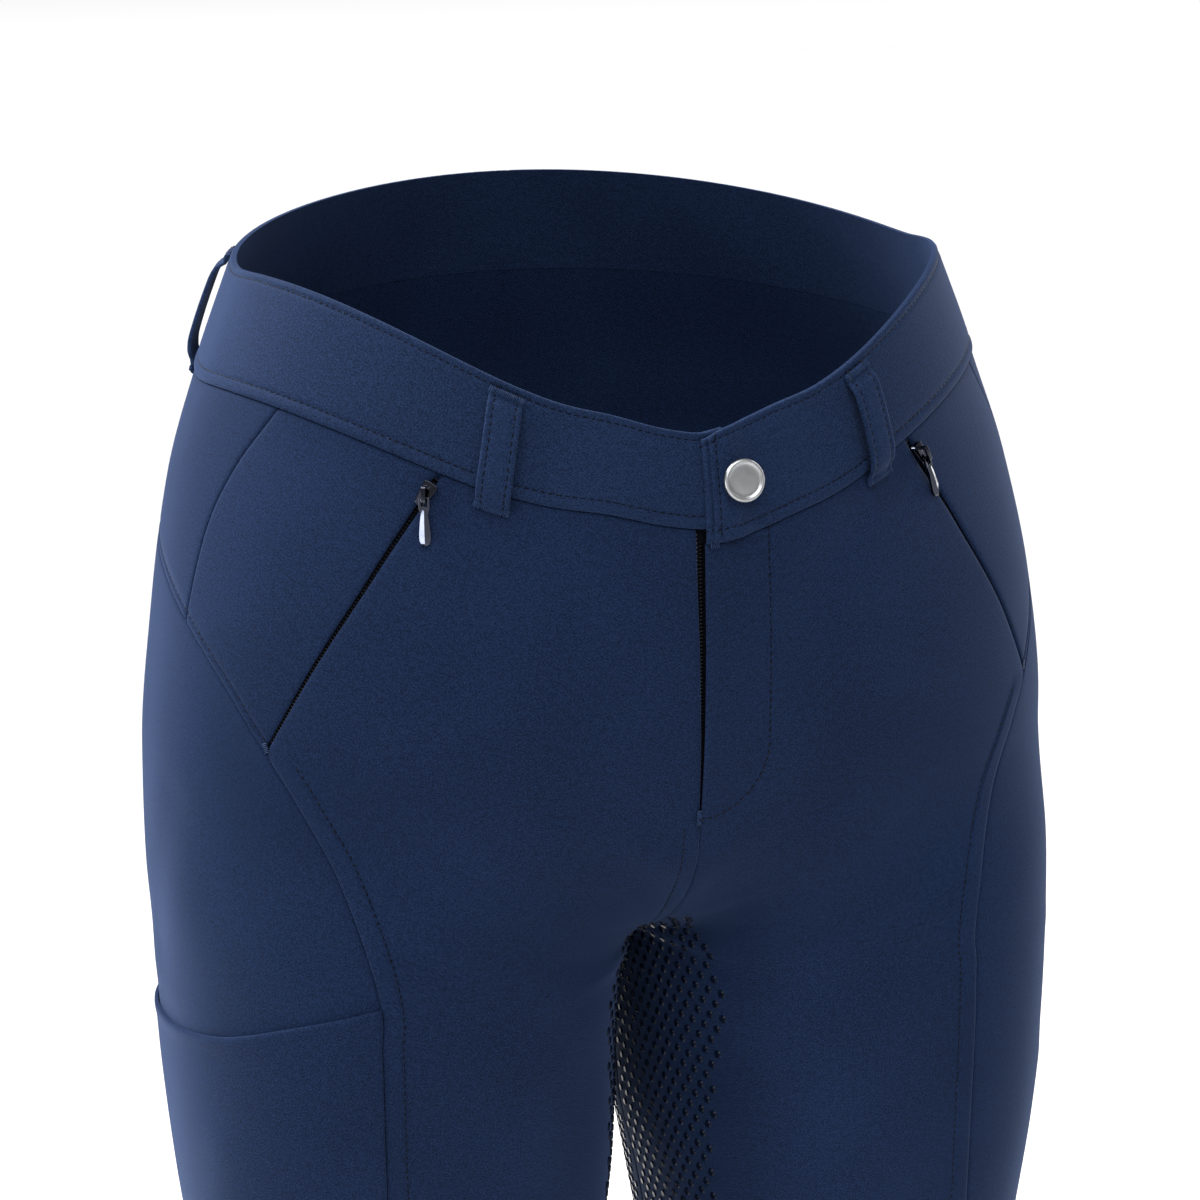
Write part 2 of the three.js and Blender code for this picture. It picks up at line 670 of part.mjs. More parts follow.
// Pull tab: an eye at the top, then a drop that widens to a round foot
function pullOutline() {
  const { length, halfWidth, neck, eyeLength, eyeHalf, rim } = PULL;
  const eyeOuter = eyeHalf + rim;
  const outline = new THREE.Shape();
  outline.moveTo(-eyeOuter, 0);
  outline.quadraticCurveTo(-eyeOuter, rim / 2, -eyeHalf, rim / 2);
  outline.lineTo(eyeHalf, rim / 2);
  outline.quadraticCurveTo(eyeOuter, rim / 2, eyeOuter, 0);
  outline.lineTo(eyeOuter, -eyeLength);
  outline.quadraticCurveTo(neck, -eyeLength - 1.5, neck, -eyeLength - 2.6);
  outline.quadraticCurveTo(halfWidth, -length + 5, halfWidth, -length + 2.4);
  outline.quadraticCurveTo(halfWidth, -length, 0, -length);
  outline.quadraticCurveTo(-halfWidth, -length, -halfWidth, -length + 2.4);
  outline.quadraticCurveTo(-halfWidth, -length + 5, -neck, -eyeLength - 2.6);
  outline.quadraticCurveTo(-neck, -eyeLength - 1.5, -eyeOuter, -eyeLength);
  outline.closePath();
  const eye = new THREE.Path();
  eye.moveTo(-eyeHalf, -rim / 2);
  eye.lineTo(-eyeHalf, -eyeLength + 0.6);
  eye.lineTo(eyeHalf, -eyeLength + 0.6);
  eye.lineTo(eyeHalf, -rim / 2);
  eye.closePath();
  outline.holes.push(eye);
  return outline;
}

// Slider on the pocket zip, with its bridge turned to the pull, and the pull hanging from it
function zipSlider(side, pullDirection) {
  const { level, thick, stand } = SLIDER;
  const u = pocketU(level);
  const seat = lifted(u, level, side, stand);
  const zipDirection = formPoint(pocketU(level + 4), level + 4, side).sub(formPoint(u, level, side));
  const bodyAxes = clothAxes(u, level, side, zipDirection).setPosition(seat);
  const pullAxes = clothAxes(u, level, side, pullDirection).setPosition(seat);

  const body = plate(sliderOutline(), thick).translate(0, 0, thick / 2).applyMatrix4(bodyAxes);
  const upright = new THREE.Matrix4().makeBasis(
    new THREE.Vector3(0, 1, 0),
    new THREE.Vector3(0, 0, 1),
    new THREE.Vector3(1, 0, 0),
  );
  const bridge = plate(bridgeOutline(), BRIDGE.width)
    .applyMatrix4(upright)
    .translate(0, 0, thick)
    .applyMatrix4(pullAxes);
  addMesh("zip_slider_" + side, fromSolid(toSolid(body).add(toSolid(bridge))), darkMetal);

  const axleAlong = -BRIDGE.length / 2 + BRIDGE.bar + 0.3 + PULL.rim / 2;
  const pull = plate(pullOutline(), PULL.thick)
    .rotateX(PULL_LEAN)
    .translate(0, axleAlong, thick + PULL_AXLE_STAND)
    .applyMatrix4(pullAxes);
  addMesh("zip_pull_" + side, closed(pull), darkMetal);
}

for (const side of ["right", "left"]) {
  waistband(side);
  frontPanel(side);
  hipPanel(side);
  backYoke(side);
  sidePanel(side);
  seatPanel(side);
  pocketTape(side);
  beltLoop("belt_loop_front_" + side, side, 0.24);
  beltLoop("belt_loop_side_" + side, side, 0.58);
}
beltLoop("belt_loop_back", "right", 1);
flyTape();
thighPocket();
snapButton();
zipSlider("right", new THREE.Vector3(0, 0, 1));
zipSlider("left", new THREE.Vector3(-0.5, 0, 1));

export default breeches;
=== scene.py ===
import math
from types import SimpleNamespace

import bmesh
import bpy
import numpy as np
from mathutils import Matrix, Vector


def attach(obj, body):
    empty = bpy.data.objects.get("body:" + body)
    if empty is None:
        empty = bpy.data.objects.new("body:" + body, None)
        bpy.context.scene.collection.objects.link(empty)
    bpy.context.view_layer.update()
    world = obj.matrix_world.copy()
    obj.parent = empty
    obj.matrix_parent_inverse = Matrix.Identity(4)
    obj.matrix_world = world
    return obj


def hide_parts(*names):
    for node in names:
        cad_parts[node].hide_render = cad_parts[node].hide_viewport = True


# Riding breeches, worn and empty. Sizes are in millimetres, and meshes are made in metres.
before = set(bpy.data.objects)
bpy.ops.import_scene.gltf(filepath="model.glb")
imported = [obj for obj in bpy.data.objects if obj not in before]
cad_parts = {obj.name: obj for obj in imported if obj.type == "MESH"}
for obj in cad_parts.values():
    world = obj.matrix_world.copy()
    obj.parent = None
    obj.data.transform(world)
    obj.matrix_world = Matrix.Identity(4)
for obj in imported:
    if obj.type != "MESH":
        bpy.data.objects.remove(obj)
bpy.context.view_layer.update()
MM = 0.001

# Camera, on the photograph's line of sight
CAMERA_AZIMUTH = math.radians(-18.5)
CAMERA_ELEVATION = math.radians(13)
CAMERA_ROLL = math.radians(-1.2)
CAMERA_DISTANCE = 1.0
CAMERA_TARGET = Vector((0.0007, 0, -0.1165))
LENS_MM = 76.4

# Studio: soft lights named by where they stand round the garment
FLOOR_HEIGHT = -0.932
FLOOR_HALF = 60
FLOOR_COLOUR = (0.88, 0.88, 0.88, 1)
HORIZON_GREY = 1
ZENITH_GREY = 0.3
GREY_REACH = 0.12
SUN_AZIMUTH = -20
SUN_ELEVATION = 52
SUN_STRENGTH = 3.5
SUN_SOFTNESS = 60
SUN_DISTANCE = 2
SOFTBOX_NAMES = ("name", "azimuth", "elevation", "distance", "width", "height", "power")
SOFTBOXES = [
    ("key_left", -124, 46, 1.35, 0.8, 0.8, 48),
    ("strip_left", -82, -8, 1.35, 0.22, 0.5, 6),
    ("rim_right", 104, 20, 1.35, 0.8, 1.2, 13),
]

# Cloth and seams
WALL = 1.3
HALF_SEAM = 0.02
CENTRE_REACH = 0.06
LAYER_GAP = 0.35
UNDERLAY_GAP = 0.6
FRONT_LINE_REACH = 0.03

# Levels, measured at the side of the body
BAND_TOP = 20
BAND_BOTTOM = -20
HEM = -930
CROTCH = -240
FRONT_FORK = -165
BACK_FORK = -135
YOKE_BACK = -78
YOKE_FOOT = -101
POCKET_FOOT = -138
FLY_FOOT = -166

# Waistband and its front tab
BAND_RAISE = 0.8
BAND_WALL = 2.2
TAB_RAISE = 2.6
TAB_START = 0.045
TAB_END = 0.085
UNDERLAP = 0.042
TAB_CORNER_DROP = 2.5
TAB_CORNER_REACH = 0.045
TAB_STEP = 0.55
TAB_STEP_IN = 1.9
TAB_STEP_REACH = 0.6
TAB_FURROW = 0.95
TAB_FURROW_IN = 2.35
TAB_FURROW_HALF = 0.38

# Centre front opening
FLY_OPEN_TOP = 3.2
FLY_OPEN_FOOT = 0.4
FLAP_RAISE = 1.1
FLAP_END = 0.07
FLAP_FADE_DROP = 8
FLAP_FADE = 24
FLY_TAPE_HALF = 8
FLY_TAPE_RISE = 6
FLY_TAPE_UP = 6
FLY_COIL_IN = 1.1
TAPE_EDGE_IN = 2.5
FLY_STITCH_ACROSS = 25
FLY_STITCH_STRAIGHT = -120
FLY_STITCH_FOOT = -155
FLY_STITCH_START = 2
FLY_STITCH_RISE = 0.1
FLY_STITCH_SPOTS = 90
FLY_STITCH_STRIDES = 6
FLY_TURN_SPOTS = 9
BAR_SPOTS = 5

# Snap button on the tab
BUTTON_U = 0.06
BUTTON_LEVEL = -2
BUTTON_RADIUS = 7.6
BUTTON_STAND = 0.5

# Belt loops
LOOP_HALF_WIDTH = 6.2
LOOP_CLOTH = 1.6
LOOP_STAND = 4.6
LOOP_TOP = 17
LOOP_FOOT = -27
LOOP_STITCH = 2.2
LOOP_BAR_IN = 1.6
LOOP_SPACING = 1.25
LOOP_MIDDLE_IN = 3.4
LOOP_MIDDLE_UP = 3

# Hip pocket zips
ZIP_HALF_SLIT = 1.1
ZIP_HALF_SLIT_FOOT = 0.6
SLIDER_LEVEL = -29
ZIP_TOP = -23
TAPE_HALF = 7
TAPE_THICK = 0.8
TAPE_ROWS = 46
TAPE_COLUMNS = 9
POCKET_TAPE_UP = 4

# Pull tabs: which way each hangs from its slider, and the drop below its eye as (distance, half width)
PULL_DIRECTIONS = {"right": np.array([0, 0, 1.0]), "left": np.array([-0.5, 0, 1.0])}
PULL_STAND = 3.95
PULL_LEAN = 9
PULL_AXLE_IN = 1.425
DROP_WALL = 0.47
DROP_RIDGE = 0.75
DROP_SHOULDER = 1.75
DROP_PROFILE = [(4.0, 0.7), (6.5, 1.4), (9.5, 1.75), (12.5, 2.0), (14.5, 1.95), (15.6, 1.5), (16.2, 0.7)]

# Thigh pocket on the right side panel
PATCH_GAP = 0.45
PATCH_WALL = 1.1
PATCH_FOOT = -398
MOUTH_ROLL = 0.5
MOUTH_ROLL_IN = 2
MOUTH_ROLL_FADE = 5

# Relief that seams and stitching raise or press into the cloth
STRIP_WIDTH = 7.5
STRIP_RAISE = 0.6
STRIP_SHOULDER_IN = 0.4
STRIP_SHOULDER = 1.6
FORK_STRIP_WIDTH = 6
FORK_STRIP_RAISE = 0.45
RELIEF_FADE = 5
STITCH_GROOVE = 0.5
STITCH_GROOVE_HALF = 0.7
TAB_GROOVE = 0.35
LOOP_GROOVE = 0.3
EDGE_STITCH = 3.2
BAND_TOP_STITCH = 2.6
UNDER_BAND_FADE = 28
BAND_FOOT_STITCH = 4.5
BAND_FOOT_SWELL = 0.28
TAB_STITCH = 5
HEM_STITCH = 17

# Edges that roll down into their seams, as (depth, reach)
SEAM_ROLL = (0.75, 2.2)
BAND_TOP_ROLL = (1.0, 1.5)
BAND_FOOT_ROLL = (0.7, 1.3)
TAB_ROLL = (1.1, 1.4)
LOOP_EDGE_ROLL = (0.7, 1.2)
LOOP_END_ROLL = (0.6, 0.9)
PATCH_MOUTH_ROLL = (0.7, 1.6)
PATCH_FOOT_ROLL = (0.9, 1.5)

# Worn stretch cloth is this much wider than its cut.
WORN_STRETCH = 1.05

# Sewn rows and zip coils, made of many small lengths: how far apart they stand, their three sizes and
# how far they rise from the cloth
ROW_SIZES = ("Pitch", "Length", "Width", "Height", "Rise")
ROW_NAMES = ("kind", "pitch", "length", "width", "height", "rise")
ROWS = [
    ("topstitch", 2.8, 2.2, 0.62, 0.5, -0.05),
    ("bar_tack", 0.55, 0.5, 2.6, 0.75, 0.05),
    ("coil", 1.3, 0.72, 2.2, 1.0, 0.3),
    ("tape_edge", 1.5, 0.75, 0.5, 0.4, 0.05),
]

# The body's sections, from the waist to the hem: the reach outwards and inwards from the middle
# plane, to the front and to the back, the middle of the depth, how far the front and the back
# stand above the side, and how square the front and back corners are.
SECTION_NAMES = (
    "level", "outer", "inner", "front", "back", "mid",
    "front_rise", "back_rise", "front_square", "back_square",
)
SECTIONS = [
    (20, 135, 0, 113, 108, 2, -55, 25, 1.95, 2.15),
    (-20, 151, 0, 118, 118, 2, -50, 23, 1.95, 2.15),
    (-60, 164, 0, 118, 128, 2, -41, 20, 2.1, 2.15),
    (-110, 173, 0, 116, 134, 3, -29, 13, 2.4, 2.15),
    (-160, 179, 0, 110, 134, 4, -17, 8, 2.5, 2.15),
    (-205, 180, 0, 103, 124, 4, -6, 3, 2.5, 2.15),
    (-240, 179, 0, 100, 113, 5, 0, 0, 2.5, 2.15),
    (-247, 179, 2.5, 100, 111, 5, 0, 0, 2.5, 2.15),
    (-258, 178.5, 4, 100, 108, 5, 0, 0, 2.5, 2.15),
    (-280, 178, 6, 99, 103, 5, 0, 0, 2.5, 2.15),
    (-330, 175, 8, 96, 94, 4, 0, 0, 2.45, 2.15),
    (-400, 167, 17, 89, 80, 3, 0, 0, 2.3, 2.15),
    (-480, 160, 31, 78, 65, 2, 0, 0, 2.2, 2.15),
    (-560, 157, 41, 67, 57, 1, 0, 0, 2.1, 2.1),
    (-620, 155, 46, 57, 61, 3, 0, 0, 2.1, 2.1),
    (-690, 152, 49, 47, 68, 6, 0, 0, 2.1, 2.1),
    (-780, 147, 55, 39, 62, 7, 0, 0, 2.05, 2.05),
    (-860, 142, 61, 35, 51, 6, 0, 0, 2, 2),
    (-930, 139, 65, 34, 44, 4, 0, 0, 2, 2),
]
FRONT_RISE_POWER = 3.6
BACK_RISE_POWER = 1.5
CROTCH_SPREAD = 0.24
GROIN_SPREAD = 0.16
ARCH_SOFTNESS = 12
# Places round the body gather a little towards the centre front and back, by one turn in this many.
GATHER_SHARE = 12
# The centre line's rise and crotch curve fade out down the leg.
CENTRE_FADE_FOOT = -900
CENTRE_FADE = 500

# The front of the waist waves a little above and below its even curve: (u, raise).
WAIST_WAVE = [(0, 1.5), (0.06, 3), (0.13, 4.5), (0.2, 2), (0.27, 0), (0.36, -1.5), (0.46, 0)]
WAVE_FOOT = -110
WAVE_FADE = 80
# The waistband's lower edge as (u, level). The left half deepens towards its tab.
BAND_FOOT = {
    "right": [(0, -17.5), (0.15, -17.8), (0.26, BAND_BOTTOM)],
    "left": [(0, -23.5), (0.1, -24.5), (0.2, -22), (0.265, BAND_BOTTOM)],
}

# Seams as (level, u): u is 0 at the centre front and inside leg, 0.5 at the side, and 1 at the
# centre back and inside leg again.
POCKET_SEAM = [(BAND_BOTTOM, 0.281), (POCKET_FOOT, 0.355)]
THIGH_SEAM = [
    (POCKET_FOOT, 0.355), (-155, 0.333), (-183, 0.31), (-211, 0.301), (-240, 0.297),
    (-285, 0.296), (-400, 0.305), (-560, 0.325), (-700, 0.345), (HEM, 0.36),
]
YOKE_SEAM = [(BAND_BOTTOM, 0.4), (-43, 0.42), (-71, 0.434), (YOKE_FOOT, 0.438)]
# Seams as (u, level)
HIP_SEAM = [
    (0.355, POCKET_FOOT), (0.389, -119), (0.438, -101), (0.495, -88), (0.56, -80),
    (0.62, YOKE_BACK), (1, YOKE_BACK),
]
PATCH_EDGE = [(0.296, -233), (0.347, -240), (0.405, -251), (0.5, -263), (0.62, -270)]
BACK_SEAM_U = 0.62
SIDE_FADE = 170
SEAT_FADE = 80

# Soft creases: where each starts and ends, its half width and its depth. A ridge has a positive depth.
CREASE_NAMES = ("side", "u_from", "level_from", "u_to", "level_to", "half_width", "depth")
CREASES = [
    ("right", 0.03, -186, 0.15, -168, 7, -0.9),
    ("right", 0.05, -205, 0.21, -196, 8, 0.8),
    ("right", 0.06, -226, 0.17, -226, 7, -0.7),
    ("left", 0.04, -182, 0.17, -160, 8, -0.8),
    ("left", 0.05, -201, 0.19, -188, 7, 0.7),
    ("left", 0.07, -222, 0.2, -219, 8, -0.6),
    ("right", 0.15, -60, 0.2, -34, 10, -0.5),
    ("left", 0.14, -66, 0.21, -38, 11, -0.5),
    ("right", 0.4, -300, 0.43, -410, 13, 1.1),
    ("left", 0.41, -310, 0.44, -396, 12, 1.0),
    ("right", 0.44, -170, 0.5, -230, 12, -0.8),
    ("left", 0.45, -180, 0.5, -226, 12, -0.7),
    ("right", 0.7, -232, 0.93, -252, 9, -2.4),
    ("right", 0.68, -262, 0.9, -279, 9, 1.7),
    ("right", 0.74, -296, 0.95, -314, 8, -1.5),
    ("left", 0.69, -238, 0.94, -250, 10, -2.2),
    ("left", 0.71, -266, 0.88, -284, 8, 1.5),
    ("left", 0.75, -300, 0.96, -309, 9, -1.7),
    ("right", 0, -268, 0, -335, 22, 2.8),
    ("right", 1, -268, 1, -335, 22, 2.8),
    ("left", 0, -268, 0, -335, 22, 2.8),
    ("left", 1, -268, 1, -335, 22, 2.8),
    ("right", 0.6, -520, 0.86, -536, 8, -1.9),
    ("right", 0.64, -545, 0.94, -556, 9, 1.7),
    ("right", 0.58, -572, 0.9, -566, 7, -2.1),
    ("right", 0.66, -598, 0.84, -590, 8, 1.1),
    ("left", 0.62, -516, 0.88, -530, 8, -1.7),
    ("left", 0.6, -540, 0.91, -552, 8, 1.9),
    ("left", 0.66, -562, 0.95, -570, 8, -2.0),
    ("left", 0.62, -590, 0.8, -596, 9, 1.0),
    ("right", 0.12, -552, 0.34, -560, 10, 0.9),
    ("right", 0.1, -580, 0.3, -574, 9, -0.8),
    ("left", 0.13, -548, 0.36, -558, 10, 0.8),
    ("left", 0.12, -577, 0.28, -580, 9, -0.8),
    ("right", 0.1, -862, 0.42, -872, 6, 1.2),
    ("right", 0.3, -884, 0.72, -879, 6, 1.3),
    ("right", 0.6, -858, 0.9, -868, 7, -1.2),
    ("left", 0.08, -868, 0.45, -863, 6, 1.2),
    ("left", 0.35, -886, 0.76, -883, 6, 1.2),
    ("left", 0.62, -862, 0.92, -870, 7, -1.1),
]

# Creases are laid out on a half round of this width, and are shallower where the leg is slimmer.
HALF_ROUND = 500
FULL_GIRTH = 480
LEAST_CREASE = 0.5

# Silicone print: rows of small raised hexagons over the seat and the inside leg
DOT_PITCH = 6.2
DOT_RADIUS = 1.75
DOT_TOP_RADIUS = 1.3
DOT_HEIGHT = 0.6
LEAST_PITCH = 4
PRINT_TOP = -92
PRINT_FOOT = -690
PRINT_MARGIN = 4
PRINT_HALF_WIDTH = 220
PRINT_FRONT_TOP = -200
# The print's front edge on the inside leg, as depths below the waist and the u there
PRINT_FRONT = ((200, 206, 235, 265, 300, 400, 690), (0.02, 0.06, 0.112, 0.12, 0.11, 0.1, 0.1))

# Mesh fineness
EDGE_OFFSETS = np.array([0, 0.35, 0.8, 1.4, 2.2])
STITCHED_OFFSETS = np.array([0, 0.35, 0.8, 1.4, 2.2, 2.7, 3.2, 3.7, 4.4])
STRIP_OFFSETS = np.array([0, 0.35, 0.8, 1.4, 2.2, 4, 5.8, 6.5, 7, 7.5, 8, 8.6, 9.6])
FLAP_OFFSETS = np.array([0, 0.35, 0.8, 1.4, 2.2, 4, 6, 9, 12, 15, 18, 21, 23.2, 24.2, 24.8, 25.4, 26.4])
LOOP_END_OFFSETS = np.array([0, 0.5, 1, 1.6, 2.2])
FINE_SPACING = 2.6
SEEN_SPACING = 3.0
PLAIN_SPACING = 3.2
SEAT_SPACING = 3.75
HIDDEN_SPACING = 6.0
LEAST_SPACING = 0.25
SEEN_FOOT = -320
EDGE_SHARE = 0.45
PROBE_COLUMNS = 120
PROBE_U = 0.006
PROBE_LEVEL = 2
GIRTH_ROWS = 60
GIRTH_SPOTS = 90
# An edge's slant is measured against the column this many in from it.
SLANT_COLUMN = 3
# Faces that bend more than this many degrees meet in a sharp edge.
SHARP_BEND = 50
METAL_SHARP_BEND = 24


def rows_of(names, table):
    """The rows of a table, each with its columns by name."""
    return [SimpleNamespace(**dict(zip(names, row))) for row in table]


def mix(a, b, share):
    """A value between two others."""
    return a + (b - a) * share


def ease(x):
    """Rises smoothly from 0 to 1."""
    x = np.clip(x, 0, 1)
    return x * x * (3 - 2 * x)


def smooth_column(places, values):
    """A smooth curve through a table's column, flat where the table turns, and constant past its ends."""
    order = np.argsort(places)
    places = np.array(places, float)[order]
    values = np.array(values, float)[order]
    widths = np.diff(places)
    slopes = np.diff(values) / widths
    turning = slopes[:-1] * slopes[1:] <= 0
    total = np.where(turning, 1, slopes[:-1] + slopes[1:])
    middle = np.where(turning, 0, 2 * slopes[:-1] * slopes[1:] / total)
    tangents = np.concatenate([slopes[:1], middle, slopes[-1:]])

    def curve(x):
        i = np.clip(np.searchsorted(places, x, side="right") - 1, 0, len(widths) - 1)
        t = np.clip((x - places[i]) / widths[i], 0, 1)
        t2 = t * t
        t3 = t2 * t
        return (
            (2 * t3 - 3 * t2 + 1) * values[i]
            + (t3 - 2 * t2 + t) * widths[i] * tangents[i]
            + (3 * t2 - 2 * t3) * values[i + 1]
            + (t3 - t2) * widths[i] * tangents[i + 1]
        )

    return curve


SECTION = {
    name: smooth_column([row[0] for row in SECTIONS], [row[i] for row in SECTIONS])
    for i, name in enumerate(SECTION_NAMES)
}
pocket_u = smooth_column(*zip(*POCKET_SEAM))
thigh_u = smooth_column(*zip(*THIGH_SEAM))
yoke_u = smooth_column(*zip(*YOKE_SEAM))
hip_level = smooth_column(*zip(*HIP_SEAM))
patch_level = smooth_column(*zip(*PATCH_EDGE))
waist_wave = smooth_column(*zip(*WAIST_WAVE))
band_foot = {side: smooth_column(*zip(*edge)) for side, edge in BAND_FOOT.items()}


def front_edge_u(level):
    """Where the front panel ends: at the pocket slit, and below it at the thigh seam."""
    return np.where(level > POCKET_FOOT, pocket_u(level), thigh_u(level))


def end_height(level, is_front):
    """The height of the body's centre line: down the front or back, round the crotch, and over the arch."""
    fork = np.where(is_front, FRONT_FORK, BACK_FORK)
    rise = np.where(is_front, SECTION["front_rise"](level), SECTION["back_rise"](level))
    fork_rise = np.where(is_front, SECTION["front_rise"](FRONT_FORK), SECTION["back_rise"](BACK_FORK))
    along = np.clip((fork - level) / (fork - CROTCH), 0, 1)
    curve = mix(fork + fork_rise, CROTCH, np.sin(along * np.pi / 2))
    below = np.maximum(CROTCH - level, 0)
    arch = CROTCH - below**2 / (below + ARCH_SOFTNESS)
    return np.where(level >= fork, level + rise, np.where(below > 0, arch, curve))


def squared_round(angle, square):
    """How far out a squared round reaches at an angle; a square of 2 is a true circle."""
    return (np.abs(np.cos(angle)) ** square + np.abs(np.sin(angle)) ** square) ** (-1 / square)


def form_points(signed_u, level, side="right"):
    """Points of the body cloth's outer face. A negative u lies past the centre line."""
    signed_u, level = np.broadcast_arrays(np.asarray(signed_u, float), np.asarray(level, float))
    u = np.abs(signed_u)
    is_front = u < 0.5
    at = {name: column(level) for name, column in SECTION.items()}
    reach = np.where(is_front, -at["front"], at["back"]) - at["mid"]
    square = np.where(is_front, at["front_square"], at["back_square"])

    body_angle = np.pi * (u - np.sin(2 * np.pi * u) / GATHER_SHARE)
    leg_angle = 2 * np.pi * u
    body_round = squared_round(body_angle, square)
    leg_round = squared_round(leg_angle, square)
    from_end = np.where(is_front, u, 1 - u)
    fork = np.where(is_front, FRONT_FORK, BACK_FORK)
    along = np.clip((fork - level) / (fork - CROTCH), 0, 1)
    leg_share = mix(1 - np.cos(along * np.pi / 2), ease(along), ease(from_end / GROIN_SPREAD))

    body_x = at["outer"] * np.sin(body_angle) * body_round
    body_y = at["mid"] + reach * np.abs(np.cos(body_angle)) * body_round
    leg_middle = (at["outer"] + at["inner"]) / 2
    leg_x = leg_middle - (at["outer"] - at["inner"]) / 2 * np.cos(leg_angle) * leg_round
    leg_y = at["mid"] + reach * np.abs(np.sin(leg_angle)) * leg_round

    rise = np.where(is_front, at["front_rise"], at["back_rise"])
    power = np.where(is_front, FRONT_RISE_POWER, BACK_RISE_POWER)
    wave = waist_wave(u) * np.clip((level - WAVE_FOOT) / WAVE_FADE, 0, 1)
    plain = level + wave + rise * np.abs(np.cos(body_angle)) ** power
    near_end = 1 - ease(from_end / CROTCH_SPREAD)
    fade = np.clip((level - CENTRE_FADE_FOOT) / CENTRE_FADE, 0, 1)
    height = plain + near_end * fade * (end_height(level, is_front) - level - rise)
    x = mix(body_x, leg_x, leg_share) * np.where(signed_u < 0, -1, 1)
    sign = -1 if side == "right" else 1
    return np.stack([sign * x, mix(body_y, leg_y, leg_share), height], axis=-1)


def form_normals(u, level, side="right"):
    """The outward direction of the body cloth, from its slopes round and down the body."""
    u, level = np.broadcast_arrays(np.asarray(u, float), np.asarray(level, float))
    by_front_line = (np.abs(u) < FRONT_LINE_REACH) & (level > FRONT_FORK)
    near = np.where(by_front_line, u, np.clip(u, 2 * PROBE_U, 1 - 2 * PROBE_U))
    around = form_points(near + PROBE_U, level) - form_points(near - PROBE_U, level)
    upward = form_points(near, level + PROBE_LEVEL) - form_points(near, level - PROBE_LEVEL)
    normal = np.cross(upward, around)
    normal /= np.linalg.norm(normal, axis=-1, keepdims=True)
    if side == "left":
        normal = normal * np.array([-1, 1, 1])
    return normal


GIRTH_LEVELS = np.linspace(HEM, BAND_TOP, GIRTH_ROWS)
GIRTH_POINTS = form_points(np.linspace(0, 1, GIRTH_SPOTS)[None, :], GIRTH_LEVELS[:, None])
half_girth = smooth_column(
    GIRTH_LEVELS, np.linalg.norm(np.diff(GIRTH_POINTS, axis=1), axis=2).sum(axis=1)
)


def shift_u(u, level, distance, strides=1):
    """Moves u by a distance measured round the body, in strides where the distance is long."""
    u = np.asarray(u, float)
    for _ in range(strides):
        beside = np.where(u < 0.5, u + PROBE_U, u - PROBE_U)
        speed = np.linalg.norm(form_points(u, level) - form_points(beside, level), axis=-1) / PROBE_U
        u = u + distance / strides / speed
    return u


def path_distance(x, y, path):
    """The distance from flat places to a path of straight stretches."""
    nearest = np.full(np.shape(x), np.inf)
    for (x0, y0), (x1, y1) in zip(path[:-1], path[1:]):
        length2 = (x1 - x0) ** 2 + (y1 - y0) ** 2
        t = np.clip(((x - x0) * (x1 - x0) + (y - y0) * (y1 - y0)) / length2, 0, 1)
        nearest = np.minimum(nearest, np.hypot(x - x0 - t * (x1 - x0), y - y0 - t * (y1 - y0)))
    return nearest


def crease_lift(u, level, side):
    """How far the soft creases raise or sink the cloth at a place."""
    girth = half_girth(level)
    lift = np.zeros(np.shape(u))
    for crease in rows_of(CREASE_NAMES, CREASES):
        if crease.side != side:
            continue
        start = (crease.u_from * HALF_ROUND, crease.level_from)
        end = (crease.u_to * HALF_ROUND, crease.level_to)
        away = path_distance(u * HALF_ROUND, level, [start, end])
        lift = lift + crease.depth * np.exp(-((away / crease.half_width) ** 2))
    return lift * np.clip(girth / FULL_GIRTH, LEAST_CREASE, 1)


def cloth_points(u, level, side, lift):
    """Points at a lift over the body cloth, creases included. Those on the centre line stay on it."""
    raised = lift + crease_lift(u, level, side)
    on_form = form_points(u, level, side)
    points = on_form + form_normals(u, level, side) * np.asarray(raised)[..., None]
    is_central = np.abs(on_form[..., 0]) < CENTRE_REACH
    points[..., 0] = np.where(is_central, on_form[..., 0], points[..., 0])
    return points


# Relief of edges and stitching, from the distance to an edge


def rolled(distance, roll=SEAM_ROLL):
    """An edge that rolls down into its seam."""
    depth, reach = roll
    near = np.clip(1 - distance / reach, 0, 1)
    return depth * (np.sqrt(1 - near**2) - 1)


def groove(distance, at, depth=STITCH_GROOVE):
    """The furrow that a row of stitching pulls into the cloth."""
    return -depth * np.exp(-(((distance - at) / STITCH_GROOVE_HALF) ** 2))


def strip(distance, width=STRIP_WIDTH, height=STRIP_RAISE):
    """The raised band that a seam allowance makes under the cloth, up to its stitching."""
    return height * (1 - ease((distance - width + STRIP_SHOULDER_IN) / STRIP_SHOULDER))


